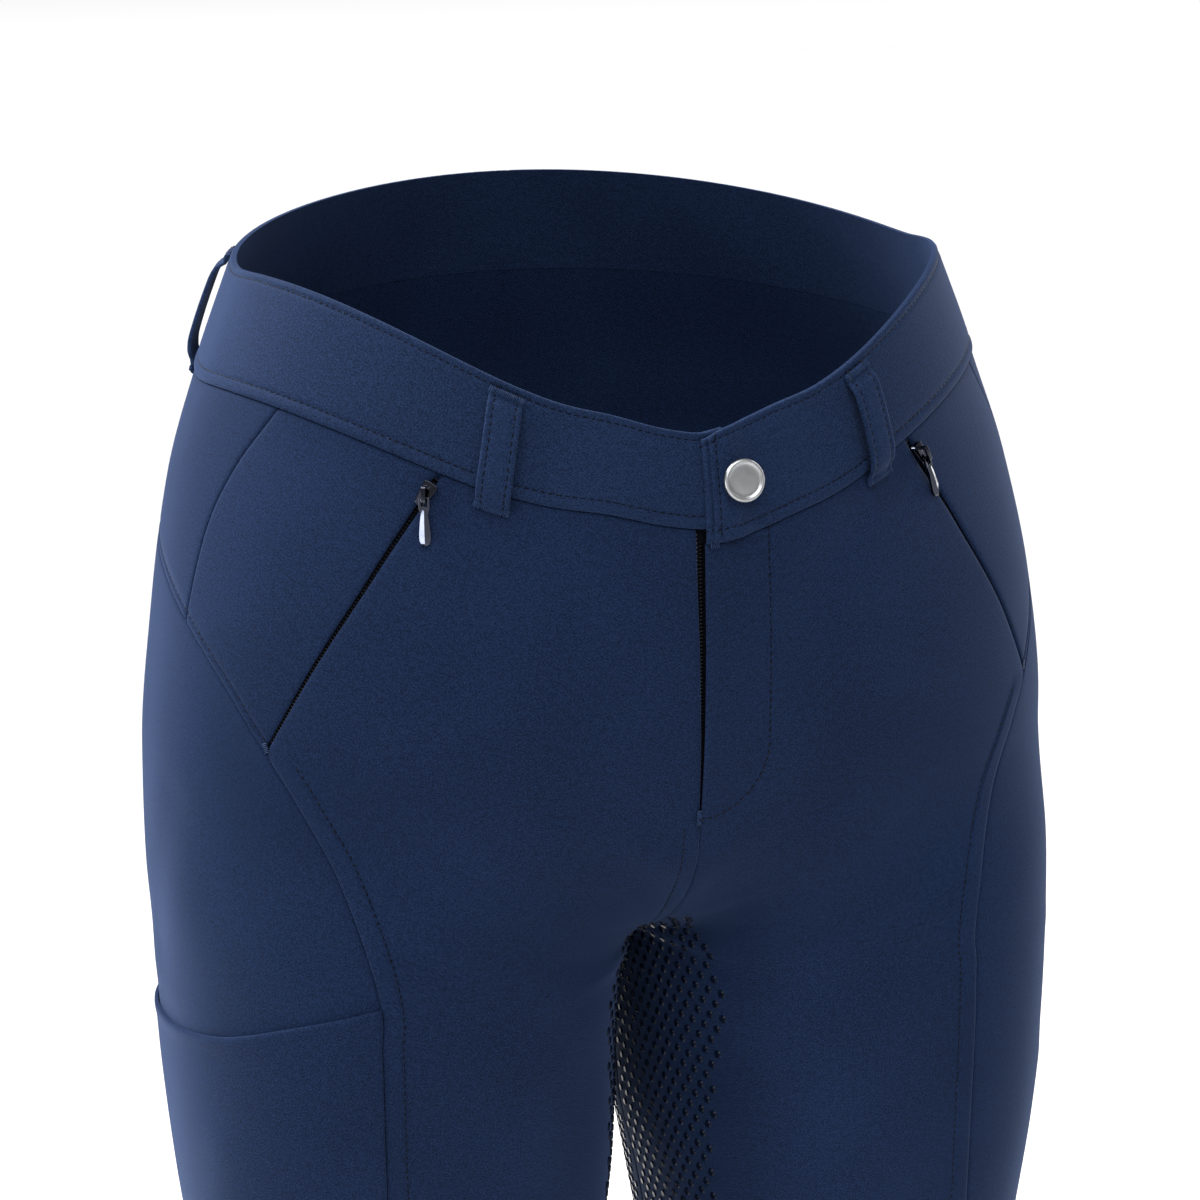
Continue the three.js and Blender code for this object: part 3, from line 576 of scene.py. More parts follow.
def panel_places(place, rows, start_offsets, end_offsets, spacing):
    """The places of a panel's points in rows and columns, with their distances to the four edges."""
    rows = np.asarray(rows, float)[:, None]
    probe = np.linspace(0, 1, PROBE_COLUMNS)[None, :]
    probed = form_points(*place(probe, rows))
    steps = np.linalg.norm(np.diff(probed, axis=1), axis=2)
    along = np.concatenate([np.zeros_like(rows), np.cumsum(steps, axis=1)], axis=1)
    width = along[:, -1:]
    fit = np.minimum(1, EDGE_SHARE * width / max(start_offsets[-1], end_offsets[-1]))
    middle_start = start_offsets[-1] * fit
    middle_width = width - middle_start - end_offsets[-1] * fit
    count = max(2, int(np.ceil(middle_width.max() / spacing)))
    inner = np.linspace(0, 1, count + 1)[None, 1:-1]
    from_start = np.concatenate(
        [start_offsets * fit, middle_start + inner * middle_width, width - end_offsets[::-1] * fit], axis=1
    )
    share = np.stack([np.interp(from_start[i], along[i], probe[0]) for i in range(len(rows))])
    u, level = np.broadcast_arrays(*place(share, rows))
    points = form_points(u, level)
    down = np.linalg.norm(np.diff(points, axis=0), axis=2)
    from_top = np.concatenate([np.zeros((1, points.shape[1])), np.cumsum(down, axis=0)], axis=0)
    return SimpleNamespace(
        u=u,
        level=level,
        start=from_start * edge_slant(points[:, 0], points[:, SLANT_COLUMN]),
        end=(width - from_start) * edge_slant(points[:, -1], points[:, -1 - SLANT_COLUMN]),
        top=from_top,
        foot=from_top[-1:] - from_top,
        across=from_start - width / 2,
    )


def strip_places(u_at, rows, columns):
    """The places of a straight strip along the line that u_at gives, with its distances to its edges."""
    level, across = np.meshgrid(rows, columns, indexing="ij")
    return SimpleNamespace(
        u=shift_u(u_at(level), level, across),
        level=level,
        start=across - columns[0],
        end=columns[-1] - across,
        top=rows[0] - level,
        foot=level - rows[-1],
        across=across,
    )


def edge_slant(edge, beside):
    """How a distance along a row shortens to the distance square to a slanted edge."""
    run = np.gradient(edge, axis=0)
    row = beside - edge
    cross = np.linalg.norm(np.cross(run, row), axis=1)
    return (cross / (np.linalg.norm(run, axis=1) * np.linalg.norm(row, axis=1)))[:, None]


def slab_mesh(name, outer, inner, flat):
    """A closed wall between two grids of points, with the cloth's own flat places as its UV map."""
    rows, columns = outer.shape[:2]
    vertices = np.concatenate([outer.reshape(-1, 3), inner.reshape(-1, 3)]) * MM
    top = np.arange(rows * columns).reshape(rows, columns)
    under = top + rows * columns

    def quads(a, b, c, d):
        return np.stack([x.ravel() for x in (a, b, c, d)], axis=1)

    faces = np.concatenate([
        quads(top[:-1, :-1], top[1:, :-1], top[1:, 1:], top[:-1, 1:]),
        quads(under[:-1, :-1], under[:-1, 1:], under[1:, 1:], under[1:, :-1]),
        quads(top[:-1, 0], under[:-1, 0], under[1:, 0], top[1:, 0]),
        quads(top[:-1, -1], top[1:, -1], under[1:, -1], under[:-1, -1]),
        quads(top[0, :-1], top[0, 1:], under[0, 1:], under[0, :-1]),
        quads(top[-1, :-1], under[-1, :-1], under[-1, 1:], top[-1, 1:]),
    ])
    corners = vertices[faces]
    volume = np.einsum("ij,ij->i", corners[:, 0], np.cross(corners[:, 1], corners[:, 2])).sum()
    if volume < 0:
        faces = faces[:, ::-1]
    mesh = bpy.data.meshes.new(name)
    mesh.from_pydata(vertices.tolist(), [], faces.tolist())
    places = np.tile(flat.reshape(-1, 2), (2, 1)) * MM
    uv_map = mesh.uv_layers.new(name="cloth")
    uv_map.data.foreach_set("uv", places[faces.ravel()].ravel())
    return mesh


def grid_area(points):
    """The area of a grid of points."""
    down = points[1:, :-1] - points[:-1, :-1]
    across = points[:-1, 1:] - points[:-1, :-1]
    return np.linalg.norm(np.cross(down, across), axis=2).sum()


def add_piece(name, mesh, material, body="garment", replaces=(), sharp_bend=SHARP_BEND):
    """Adds a finished piece on the body it rides on, with its material, and hides the parts it stands for.
    """
    piece = bpy.data.objects.new(name, mesh)
    bpy.context.collection.objects.link(piece)
    mesh.materials.clear()
    mesh.materials.append(material)
    mesh.shade_smooth()
    mesh.set_sharp_from_angle(angle=math.radians(sharp_bend))
    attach(piece, body)
    if replaces:
        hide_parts(*replaces)
    return piece


# The finished pieces' surfaces by node, which stitching and print are laid on
SURFACES = {}


def sewn_panel(
    node, side, places, base, relief=0, wall=WALL, material=None, held="stretched",
):
    """A cloth panel over its places. Only its outer face has the relief of seams and stitching."""
    outer = cloth_points(places.u, places.level, side, base + relief)
    inner = cloth_points(places.u, places.level, side, base - wall)
    mesh = slab_mesh(node, outer, inner, np.stack([places.across, -places.top], axis=-1))
    piece = add_piece(node + "_cloth", mesh, material or CLOTH, replaces=[node])
    normals = form_normals(places.u, places.level, side)
    SURFACES[node] = SimpleNamespace(points=outer, normals=normals, **vars(places))
    stretch = WORN_STRETCH if held == "stretched" else 1
    area = float(grid_area(form_points(places.u, places.level, side))) / stretch * MM**2


# Materials


def node_material(name):
    """A new material with its Principled shader, and a short way to add and join nodes."""
    material = bpy.data.materials.new(name)
    material.use_nodes = True
    tree = material.node_tree
    shader = tree.nodes["Principled BSDF"]

    def add(kind, **settings):
        node = tree.nodes.new(kind)
        for key, value in settings.items():
            setattr(node, key, value)
        return node

    return SimpleNamespace(material=material, shader=shader, add=add, link=tree.links.new)


def set_values(node, values):
    """Sets a node's own sockets by name."""
    for socket, value in values.items():
        node.inputs[socket].default_value = value


def add_noise(kit, vector, scale, detail=3.0):
    """Uneven patches from 0 to 1, finer the higher their scale."""
    noise = kit.add("ShaderNodeTexNoise")
    set_values(noise, {"Scale": scale, "Detail": detail, "Roughness": 0.6})
    kit.link(vector, noise.inputs["Vector"])
    return noise.outputs["Fac"]


def add_range(kit, value, low, high):
    """Maps a value from 0 to 1 onto a new range."""
    mapped = kit.add("ShaderNodeMapRange")
    set_values(mapped, {"To Min": low, "To Max": high})
    kit.link(value, mapped.inputs["Value"])
    return mapped.outputs["Result"]


def add_math(kit, operation, a, b):
    """One sum of two values, each a number or another node's output."""
    node = kit.add("ShaderNodeMath", operation=operation)
    for socket, value in zip(node.inputs, (a, b)):
        if isinstance(value, (int, float)):
            socket.default_value = value
        else:
            kit.link(value, socket)
    return node.outputs["Value"]


def bump_surface(kit, height, distance, strength):
    """Gives the surface a fine relief."""
    bump = kit.add("ShaderNodeBump")
    set_values(bump, {"Strength": strength, "Distance": distance})
    kit.link(height, bump.inputs["Height"])
    kit.link(bump.outputs["Normal"], kit.shader.inputs["Normal"])


def colour_between(kit, dark, light, share):
    """Colours the surface between a dark and a light tone."""
    colour = kit.add("ShaderNodeMix", data_type="RGBA")
    set_values(colour, {"A": dark, "B": light})
    kit.link(share, colour.inputs["Factor"])
    kit.link(colour.outputs["Result"], kit.shader.inputs["Base Color"])


def roughen(kit, tone, low, high):
    """Lets the surface's roughness vary with a tone."""
    kit.link(add_range(kit, tone, low, high), kit.shader.inputs["Roughness"])


def flat_places(kit):
    """The cloth's own flat places, as its UV map holds them."""
    return kit.add("ShaderNodeUVMap", uv_map="cloth").outputs["UV"]


def object_places(kit):
    """Places in the piece's own space."""
    return kit.add("ShaderNodeTexCoord").outputs["Object"]


def twill_lines(kit, flat, pitch, angle):
    """Fine slanting ribs over the cloth's flat places."""
    turned = kit.add("ShaderNodeMapping")
    set_values(turned, {"Rotation": (0, 0, angle), "Scale": (1 / pitch, 1 / pitch, 1)})
    kit.link(flat, turned.inputs["Vector"])
    split = kit.add("ShaderNodeSeparateXYZ")
    kit.link(turned.outputs["Vector"], split.inputs["Vector"])
    wave = add_math(kit, "SINE", add_math(kit, "MULTIPLY", split.outputs["X"], 2 * math.pi), 0)
    return add_math(kit, "MULTIPLY_ADD", wave, 0.5)


def stretch_twill(name, dark, light):
    """Dense stretch twill: fine ribs, a slight nap and soft unevenness, all on the cloth's flat places."""
    kit = node_material(name)
    flat = flat_places(kit)
    ribs = twill_lines(kit, flat, pitch=0.0009, angle=math.radians(62))
    grain = add_noise(kit, flat, scale=1500, detail=2)
    fibres = add_noise(kit, flat, scale=420, detail=3)
    clouds = add_noise(kit, flat, scale=14, detail=2)
    shade = add_range(kit, grain, low=-1.5, high=1.5)
    for tone, low, high in ((fibres, -0.5, 0.5), (clouds, -0.3, 0.3), (ribs, 0.42, 0.58)):
        shade = add_math(kit, "ADD", shade, add_range(kit, tone, low, high))
    colour_between(kit, dark, light, shade)
    roughen(kit, fibres, low=0.72, high=0.9)
    weave = add_math(kit, "ADD", add_math(kit, "MULTIPLY", ribs, 0.5), grain)
    bump_surface(kit, weave, distance=0.00012, strength=0.6)
    set_values(kit.shader, {"Specular IOR Level": 0.06, "Sheen Weight": 0.12, "Sheen Roughness": 0.4})
    set_values(kit.shader, {"Sheen Tint": (0.3, 0.45, 0.9, 1)})
    return kit.material


def glossy_thread(name, dark, light, gloss, glint_low=0, glint_high=1):
    """Smooth thread or nylon; the glint range sets how seldom its light tone shows, and a narrow range makes
    that tone sparse painted glints.
    """
    kit = node_material(name)
    place = object_places(kit)
    tone = add_noise(kit, place, scale=900, detail=2)
    colour_between(kit, dark, light, add_range(kit, tone, low=glint_low, high=glint_high))
    roughen(kit, tone, low=0.3, high=0.5)
    fuzz = add_noise(kit, place, scale=3000, detail=1)
    bump_surface(kit, fuzz, distance=0.0001, strength=0.4)
    set_values(kit.shader, {"Specular IOR Level": gloss})
    return kit.material


def zip_tape_cloth():
    """Flat woven tape, near black, with close crosswise ribs."""
    kit = node_material("zip_tape_cloth")
    flat = flat_places(kit)
    ribs = twill_lines(kit, flat, pitch=0.0011, angle=math.pi / 2)
    grain = add_noise(kit, flat, scale=900)
    share = add_math(kit, "MULTIPLY", ribs, grain)
    colour_between(kit, (0.0008, 0.001, 0.0022, 1), (0.0035, 0.0045, 0.009, 1), share)
    roughen(kit, grain, low=0.7, high=0.9)
    bump_surface(kit, ribs, distance=0.0002, strength=0.7)
    set_values(kit.shader, {"Specular IOR Level": 0.05})
    return kit.material


def metal(name, dark, light, roughness, scratch_scale):
    """Metal with faint cloudiness and fine scratches in its gloss."""
    kit = node_material(name)
    place = object_places(kit)
    clouds = add_noise(kit, place, scale=260, detail=4)
    scratches = add_noise(kit, place, scale=scratch_scale, detail=2)
    colour_between(kit, dark, light, clouds)
    set_values(kit.shader, {"Metallic": 1})
    roughen(kit, scratches, low=roughness - 0.06, high=roughness + 0.08)
    bump_surface(kit, scratches, distance=0.00001, strength=0.15)
    return kit.material


def silicone_print():
    """Dark rubbery print, smoother than the cloth round it."""
    kit = node_material("silicone_print")
    place = object_places(kit)
    tone = add_noise(kit, place, scale=300, detail=3)
    colour_between(kit, (0.0012, 0.0025, 0.007, 1), (0.003, 0.006, 0.016, 1), tone)
    roughen(kit, tone, low=0.14, high=0.26)
    bump_surface(kit, tone, distance=0.0003, strength=0.3)
    set_values(kit.shader, {"Specular IOR Level": 0.1})
    return kit.material


def pale_floor():
    """Matt pale paper for the floor."""
    kit = node_material("pale_floor")
    place = object_places(kit)
    set_values(kit.shader, {"Base Color": FLOOR_COLOUR, "Specular IOR Level": 0})
    roughen(kit, add_noise(kit, place, scale=3), low=0.85, high=0.95)
    return kit.material


# Studio


def round_the_garment(azimuth, elevation):
    """The direction from the garment to a place round it. Azimuth 0 is straight in front."""
    level_part = math.cos(elevation)
    return Vector((
        math.sin(azimuth) * level_part,
        -math.cos(azimuth) * level_part,
        math.sin(elevation),
    ))


def add_camera():
    """The camera, at the photograph's angle and with its slight roll."""
    back = round_the_garment(CAMERA_AZIMUTH, CAMERA_ELEVATION)
    right = Vector((math.cos(CAMERA_AZIMUTH), math.sin(CAMERA_AZIMUTH), 0))
    up = back.cross(right)
    rolled_right = right * math.cos(CAMERA_ROLL) + up * math.sin(CAMERA_ROLL)
    rolled_up = up * math.cos(CAMERA_ROLL) - right * math.sin(CAMERA_ROLL)
    turn = Matrix((rolled_right, rolled_up, back)).transposed().to_4x4()
    camera = bpy.data.objects.new("camera", bpy.data.cameras.new("camera"))
    camera.data.lens = LENS_MM
    camera.data.clip_end = 4 * FLOOR_HALF
    camera.matrix_world = Matrix.Translation(CAMERA_TARGET + back * CAMERA_DISTANCE) @ turn
    bpy.context.collection.objects.link(camera)
    bpy.context.scene.camera = camera


def add_lamp(name, kind, azimuth, elevation, distance):
    """A lamp that looks at the garment from a place round it."""
    lamp = bpy.data.lights.new(name, kind)
    holder = bpy.data.objects.new(name, lamp)
    direction = round_the_garment(math.radians(azimuth), math.radians(elevation))
    turn = direction.to_track_quat("Z", "Y").to_matrix().to_4x4()
    holder.matrix_world = Matrix.Translation(CAMERA_TARGET + direction * distance) @ turn
    holder.visible_camera = False
    bpy.context.collection.objects.link(holder)
    return lamp


def add_lights():
    """A broad soft sun overhead and the softboxes round the garment."""
    sun = add_lamp("overhead_sun", "SUN", SUN_AZIMUTH, SUN_ELEVATION, SUN_DISTANCE)
    sun.energy = SUN_STRENGTH
    sun.angle = math.radians(SUN_SOFTNESS)
    for box in rows_of(SOFTBOX_NAMES, SOFTBOXES):
        lamp = add_lamp(box.name, "AREA", box.azimuth, box.elevation, box.distance)
        lamp.energy = box.power
        lamp.shape = "RECTANGLE"
        lamp.size = box.width
        lamp.size_y = box.height
    bpy.context.scene.view_settings.view_transform = "Standard"


def add_sky():
    """A plain studio sky: near white round the horizon and greyer overhead."""
    world = bpy.data.worlds.new("studio")
    world.use_nodes = True
    tree = world.node_tree
    place = tree.nodes.new("ShaderNodeTexCoord")
    split = tree.nodes.new("ShaderNodeSeparateXYZ")
    tree.links.new(place.outputs["Generated"], split.inputs["Vector"])
    grey = tree.nodes.new("ShaderNodeMapRange")
    set_values(grey, {"From Max": GREY_REACH, "To Min": HORIZON_GREY, "To Max": ZENITH_GREY})
    tree.links.new(split.outputs["Z"], grey.inputs["Value"])
    tree.links.new(grey.outputs["Result"], tree.nodes["Background"].inputs["Strength"])
    tree.nodes["Background"].inputs["Color"].default_value = (1, 1, 1, 1)
    bpy.context.scene.world = world


def add_floor():
    """A wide plain floor under the hems."""
    mesh = bpy.data.meshes.new("floor")
    corners = [(x, y, FLOOR_HEIGHT) for x, y in ((-1, -1), (1, -1), (1, 1), (-1, 1))]
    mesh.from_pydata([(x * FLOOR_HALF, y * FLOOR_HALF, z) for x, y, z in corners], [], [(0, 1, 2, 3)])
    mesh.materials.append(pale_floor())
    floor = bpy.data.objects.new("floor", mesh)
    bpy.context.collection.objects.link(floor)


add_camera()
add_lights()
add_sky()
add_floor()

CLOTH = stretch_twill(
    "navy_stretch_twill", dark=(0.0019, 0.0055, 0.0182, 1), light=(0.0072, 0.0168, 0.049, 1)
)
BAND_CLOTH = stretch_twill(
    "navy_band_twill", dark=(0.0026, 0.0068, 0.021, 1), light=(0.0096, 0.0208, 0.057, 1)
)
# Topstitch thread: its dark tone, darker than the cloth, is painted shade of the stitch furrows. Its rare
# light tone, set by the narrow glint range, is a painted glint.
THREAD = glossy_thread(
    "navy_thread", dark=(0.0006, 0.0012, 0.0035, 1), light=(0.06, 0.085, 0.14, 1),
    gloss=0.08, glint_low=-5.4, glint_high=2.6,
)
BAR_THREAD = glossy_thread(
    "bar_thread", dark=(0.006, 0.013, 0.036, 1), light=(0.022, 0.042, 0.1, 1), gloss=0.08
)
PALE_THREAD = glossy_thread(
    "pale_thread", dark=(0.012, 0.014, 0.022, 1), light=(0.07, 0.078, 0.1, 1), gloss=0.1
)
TAPE_CLOTH = zip_tape_cloth()
NYLON_TEETH = glossy_thread(
    "nylon_teeth", dark=(0.0005, 0.0006, 0.001, 1), light=(0.0025, 0.003, 0.005, 1), gloss=0.12
)
SATIN_METAL = metal(
    "satin_snap_metal", dark=(0.3, 0.31, 0.32, 1), light=(0.42, 0.43, 0.44, 1),
    roughness=0.34, scratch_scale=2600,
)
DARK_CHROME = metal(
    "dark_chrome", dark=(0.034, 0.038, 0.052, 1), light=(0.06, 0.066, 0.085, 1),
    roughness=0.1, scratch_scale=1500,
)
SILICONE = silicone_print()


# Cloth panels


def panel_levels(top, foot, top_offsets=EDGE_OFFSETS, foot_offsets=()):
    """Row levels from a panel's top to its foot, closer at its edges and where the photograph shows it."""
    seen = np.arange(top - top_offsets[-1] - SEEN_SPACING, max(foot, SEEN_FOOT), -SEEN_SPACING)
    hidden = np.arange(SEEN_FOOT, foot, -HIDDEN_SPACING)
    levels = np.concatenate([top - top_offsets, seen, hidden, foot + np.array(foot_offsets), [foot]])
    levels = np.unique(np.round(levels[(levels <= top) & (levels >= foot)], 3))[::-1]
    close = np.concatenate([[False], np.diff(levels) > -LEAST_SPACING])
    return levels[~close | (levels == foot)]


ABOUT_A_STITCH = (-1.4, -0.7, 0, 0.7, 1.4)
HEM_OFFSETS = (0.5, 1.2, 2.4, *(HEM_STITCH + offset for offset in ABOUT_A_STITCH))


def fly_stitch_path():
    """The fly's stitching as (across, level) from the flap's edge: straight, then curved in."""
    drop = FLY_STITCH_FOOT - FLY_STITCH_STRAIGHT
    turns = np.linspace(0, math.pi / 2, FLY_TURN_SPOTS)
    curve = [(FLY_STITCH_ACROSS * math.cos(a), FLY_STITCH_STRAIGHT + drop * math.sin(a)) for a in turns]
    return [(FLY_STITCH_ACROSS, BAND_BOTTOM)] + curve


def fly_groove(across, level):
    """The furrow of the fly's straight stitching."""
    return groove(path_distance(across, level, fly_stitch_path()[:2]), 0)


def front_opening(level, side):
    """How far the front panel's edge stands from the centre line: the fly gapes at its top."""
    share = np.clip((level - FLY_STITCH_FOOT) / (BAND_BOTTOM - FLY_STITCH_FOOT), 0, 1)
    open_by = mix(FLY_OPEN_FOOT, FLY_OPEN_TOP, share)
    is_open = (level >= FLY_STITCH_FOOT) & (side == "right")
    return np.where(is_open, open_by, HALF_SEAM)


def flap_lift(u, level):
    """The fly flap is the left front's doubled edge, so it stands a little off the right front."""
    return FLAP_RAISE * (1 - ease(u / FLAP_END)) * ease((level - FLY_FOOT + FLAP_FADE_DROP) / FLAP_FADE)


def zip_gap(level):
    """Half the width of the pocket's slit, which gapes a little below its slider."""
    share = np.clip((level - POCKET_FOOT) / (BAND_BOTTOM - POCKET_FOOT), 0, 1)
    return mix(ZIP_HALF_SLIT_FOOT, ZIP_HALF_SLIT, share)


def edges_rolled(places):
    """The relief of a panel whose four edges roll down into their seams."""
    return rolled(places.start) + rolled(places.end) + rolled(places.top) + rolled(places.foot)


def front_panel(side):
    """Front of the leg and belly, from the centre front to the pocket and thigh seams."""

    def place(share, level):
        start = shift_u(np.zeros_like(level), level, front_opening(level, side))
        gap = np.where(level > POCKET_FOOT, zip_gap(level), HALF_SEAM)
        end = shift_u(front_edge_u(level), level, -gap)
        u = mix(start, end, share)
        under_band = ease((level - BAND_BOTTOM) / UNDER_BAND_FADE + 1)
        return u, level + (band_foot[side](np.abs(u)) - BAND_BOTTOM) * under_band

    start_offsets = FLAP_OFFSETS if side == "left" else STRIP_OFFSETS
    levels = panel_levels(BAND_BOTTOM - HALF_SEAM, HEM, foot_offsets=HEM_OFFSETS)
    places = panel_places(place, levels, start_offsets, STRIP_OFFSETS, SEEN_SPACING)
    below_pocket = ease((POCKET_FOOT - places.level) / RELIEF_FADE)
    below_fly = ease((FLY_STITCH_FOOT - places.level) / RELIEF_FADE)
    above_crotch = below_fly * ease((places.level - CROTCH) / RELIEF_FADE)
    relief = edges_rolled(places) + groove(places.foot, HEM_STITCH)
    relief += below_pocket * (strip(places.end) + groove(places.end, STRIP_WIDTH))
    base = 0
    if side == "right":
        fork_strip = strip(places.start, FORK_STRIP_WIDTH, FORK_STRIP_RAISE)
        relief += above_crotch * (fork_strip + groove(places.start, FORK_STRIP_WIDTH))
    else:
        relief += fly_groove(places.start, places.level)
        base = flap_lift(places.u, places.level)
    sewn_panel("front_" + side, side, places, base, relief)


def hip_place(share, t):
    """Places of the hip panel: share runs from pocket to yoke seam, t from the band to the hip seam."""
    front_level = mix(BAND_BOTTOM, POCKET_FOOT, t)
    back_level = mix(BAND_BOTTOM, YOKE_FOOT, t)
    u = mix(pocket_u(front_level), yoke_u(back_level), share)
    foot_u = mix(pocket_u(POCKET_FOOT), yoke_u(YOKE_FOOT), share)
    foot = hip_level(foot_u) - mix(POCKET_FOOT, YOKE_FOOT, share)
    level = mix(front_level, back_level, share) + foot * t
    return shift_u(u, level, zip_gap(level) * (1 - share)), level + mix(-HALF_SEAM, HALF_SEAM, t)


def edge_shares(length, top_offsets, foot_offsets, spacing):
    """Shares of a length, closer together at both of its ends."""
    inner = np.arange(top_offsets[-1] + spacing, length - foot_offsets[-1] - spacing / 2, spacing)
    return np.concatenate([top_offsets, inner, length - foot_offsets[::-1]]) / length


def under_band_panel(node, side, place, foot, spacing):
    """A panel from the waistband down to its stitched foot."""
    rows = edge_shares(BAND_BOTTOM - foot, EDGE_OFFSETS, STITCHED_OFFSETS, spacing)
    places = panel_places(place, rows, EDGE_OFFSETS, EDGE_OFFSETS, spacing)
    relief = edges_rolled(places) + groove(places.foot, EDGE_STITCH)
    sewn_panel(node, side, places, 0, relief)


def hip_panel(side):
    """Hip panel behind the pocket zip, down to the hip seam."""
    under_band_panel("hip_" + side, side, hip_place, POCKET_FOOT, FINE_SPACING)


def yoke_place(share, t):
    """Places of the back yoke: share runs from the yoke seam to the centre back, t down from the band."""
    front_level = mix(BAND_BOTTOM, YOKE_FOOT, t)
    start = shift_u(yoke_u(front_level), front_level, HALF_SEAM)
    end = shift_u(np.ones_like(front_level), front_level, -HALF_SEAM)
    u = mix(start, end, share)
    level = front_level + (hip_level(u) - hip_level(start)) * t
    return u, level + mix(-HALF_SEAM, HALF_SEAM, t)


def back_yoke(side):
    """Back yoke, between the waistband and the hip seam, from the yoke seam to the centre back."""
    under_band_panel("yoke_" + side, side, yoke_place, YOKE_FOOT, PLAIN_SPACING)


def row_fade(row_level, reach):
    """How much of the hip seam's rise a row of the side or seat still follows."""
    return 1 - ease((POCKET_FOOT - row_level) / reach)


def side_place(share, row_level):
    """Places of the side panel, whose upper rows follow the rising hip seam."""
    start = shift_u(thigh_u(row_level), row_level, HALF_SEAM)
    end = shift_u(np.full_like(row_level, BACK_SEAM_U), row_level, -HALF_SEAM)
    u = mix(start, end, share)
    rise = np.where(u > pocket_u(POCKET_FOOT), hip_level(u) - POCKET_FOOT, 0)
    return u, row_level + rise * row_fade(row_level, SIDE_FADE) - HALF_SEAM * (row_level >= POCKET_FOOT)


def side_panel(side):
    """Side panel of the leg, under the hip seam, from the thigh seam to the back seam."""
    levels = panel_levels(POCKET_FOOT, HEM, foot_offsets=HEM_OFFSETS)
    places = panel_places(side_place, levels, EDGE_OFFSETS, EDGE_OFFSETS, SEEN_SPACING)
    relief = edges_rolled(places) + groove(places.foot, HEM_STITCH)
    sewn_panel("side_" + side, side, places, 0, relief)


def seat_place(share, row_level):
    """Places of the seat panel, whose upper rows follow the hip seam."""
    rise = YOKE_BACK - POCKET_FOOT
    fade = mix(row_fade(row_level, SIDE_FADE), row_fade(row_level, SEAT_FADE), share)
    level = row_level + rise * fade - HALF_SEAM * (row_level >= POCKET_FOOT)
    start = shift_u(np.full_like(level, BACK_SEAM_U), level, HALF_SEAM)
    return mix(start, shift_u(np.ones_like(level), level, -HALF_SEAM), share), level


def seat_panel(side):
    """Seat and inside leg, from the back seam to the centre back and inside leg seams."""
    levels = panel_levels(POCKET_FOOT, HEM, foot_offsets=HEM_OFFSETS)
    places = panel_places(seat_place, levels, STITCHED_OFFSETS, EDGE_OFFSETS, SEAT_SPACING)
    relief = edges_rolled(places) + groove(places.start, EDGE_STITCH) + groove(places.foot, HEM_STITCH)
    sewn_panel("seat_" + side, side, places, 0, relief)


# Waistband, belt loops and thigh pocket

# Rows down the band and columns in from the tab's end, close together at edges and stitching
BAND_ROWS = np.array([
    0, 0.25, 0.6, 1, 1.5, 2.1, 2.6, 3.1, 3.7, 5, 7, 9.5, 12.5, 15.5, 18.5, 21.5, 24.5, 27.5, 30, 32, 33.6,
    34.6, 35.1, 35.6, 36.2, 37.2, 38.2, 38.9, 39.4, 39.85, 40,
])
TAB_OFFSETS = np.array([
    0, 0.3, 0.7, 1.2, 1.7, 2.1, 2.4, 2.7, 3.1, 3.7, 4.3, 4.7, 5, 5.4, 6.2, 8, 10.5, 13.5,
])


def band_top(u, side):
    """The band's top edge. The tab's corner is cut away."""
    drop = TAB_CORNER_DROP if side == "left" else 0
    return BAND_TOP - drop * (1 - ease(u / TAB_CORNER_REACH))


def tab_edge(distance):
    """The tab's thick end: its folded layers stand as two ridges with a furrow between."""
    step = rolled(distance, TAB_ROLL) - TAB_STEP * (1 - ease((distance - TAB_STEP_IN) / TAB_STEP_REACH))
    furrow = -TAB_FURROW * np.exp(-(((distance - TAB_FURROW_IN) / TAB_FURROW_HALF) ** 2))
    return step + furrow + groove(distance, TAB_STITCH, TAB_GROOVE)


def waistband(side):
    """One half of the waistband. The left half ends in a tab that lies on the right half's underlap."""
    is_left = side == "left"
    start_u = 0 if is_left else -UNDERLAP
    depth = BAND_TOP - BAND_BOTTOM

    def place(share, down):
        u = mix(start_u, shift_u(np.ones_like(down), BAND_TOP - down, -HALF_SEAM), share)
        return u, mix(band_top(u, side), band_foot[side](np.abs(u)), down / depth)

    places = panel_places(place, BAND_ROWS, TAB_OFFSETS, EDGE_OFFSETS, FINE_SPACING)
    base = np.full(np.shape(places.u), BAND_RAISE)
    relief = rolled(places.top, BAND_TOP_ROLL) + rolled(places.foot, BAND_FOOT_ROLL) + rolled(places.end)
    relief += groove(places.top, BAND_TOP_STITCH) + groove(places.foot, BAND_FOOT_STITCH)
    relief += BAND_FOOT_SWELL * np.sin(np.clip(places.foot / BAND_FOOT_STITCH, 0, 1) * np.pi)
    if is_left:
        base += TAB_RAISE * (1 - ease((places.u - TAB_START) / (TAB_END - TAB_START)))
        relief += tab_edge(places.start)
    else:
        relief += rolled(places.start)
    sewn_panel("waistband_" + side, side, places, base, relief, wall=BAND_WALL, material=BAND_CLOTH)


# A belt loop's path down the band, as (level, lift)
LOOP_PATH = [
    (LOOP_TOP, BAND_RAISE + LAYER_GAP),
    (LOOP_TOP - 3, BAND_RAISE + LAYER_GAP),
    (LOOP_TOP - 6, LOOP_STAND - 0.9),
    (LOOP_TOP - 11, LOOP_STAND),
    ((LOOP_TOP + LOOP_FOOT) / 2, LOOP_STAND + 0.2),
    (LOOP_FOOT + 12, LOOP_STAND),
    (LOOP_FOOT + 7, LOOP_STAND - 1.1),
    (LOOP_FOOT + 3.5, BAND_RAISE + LAYER_GAP),
    (LOOP_FOOT, LAYER_GAP),
]
loop_stand = smooth_column(*zip(*LOOP_PATH))
LOOP_NAMES = ("name", "side", "u")
LOOPS = [
    ("belt_loop_front_right", "right", 0.24),
    ("belt_loop_front_left", "left", 0.24),
    ("belt_loop_side_right", "right", 0.58),
    ("belt_loop_side_left", "left", 0.58),
    ("belt_loop_back", "right", 1),
]
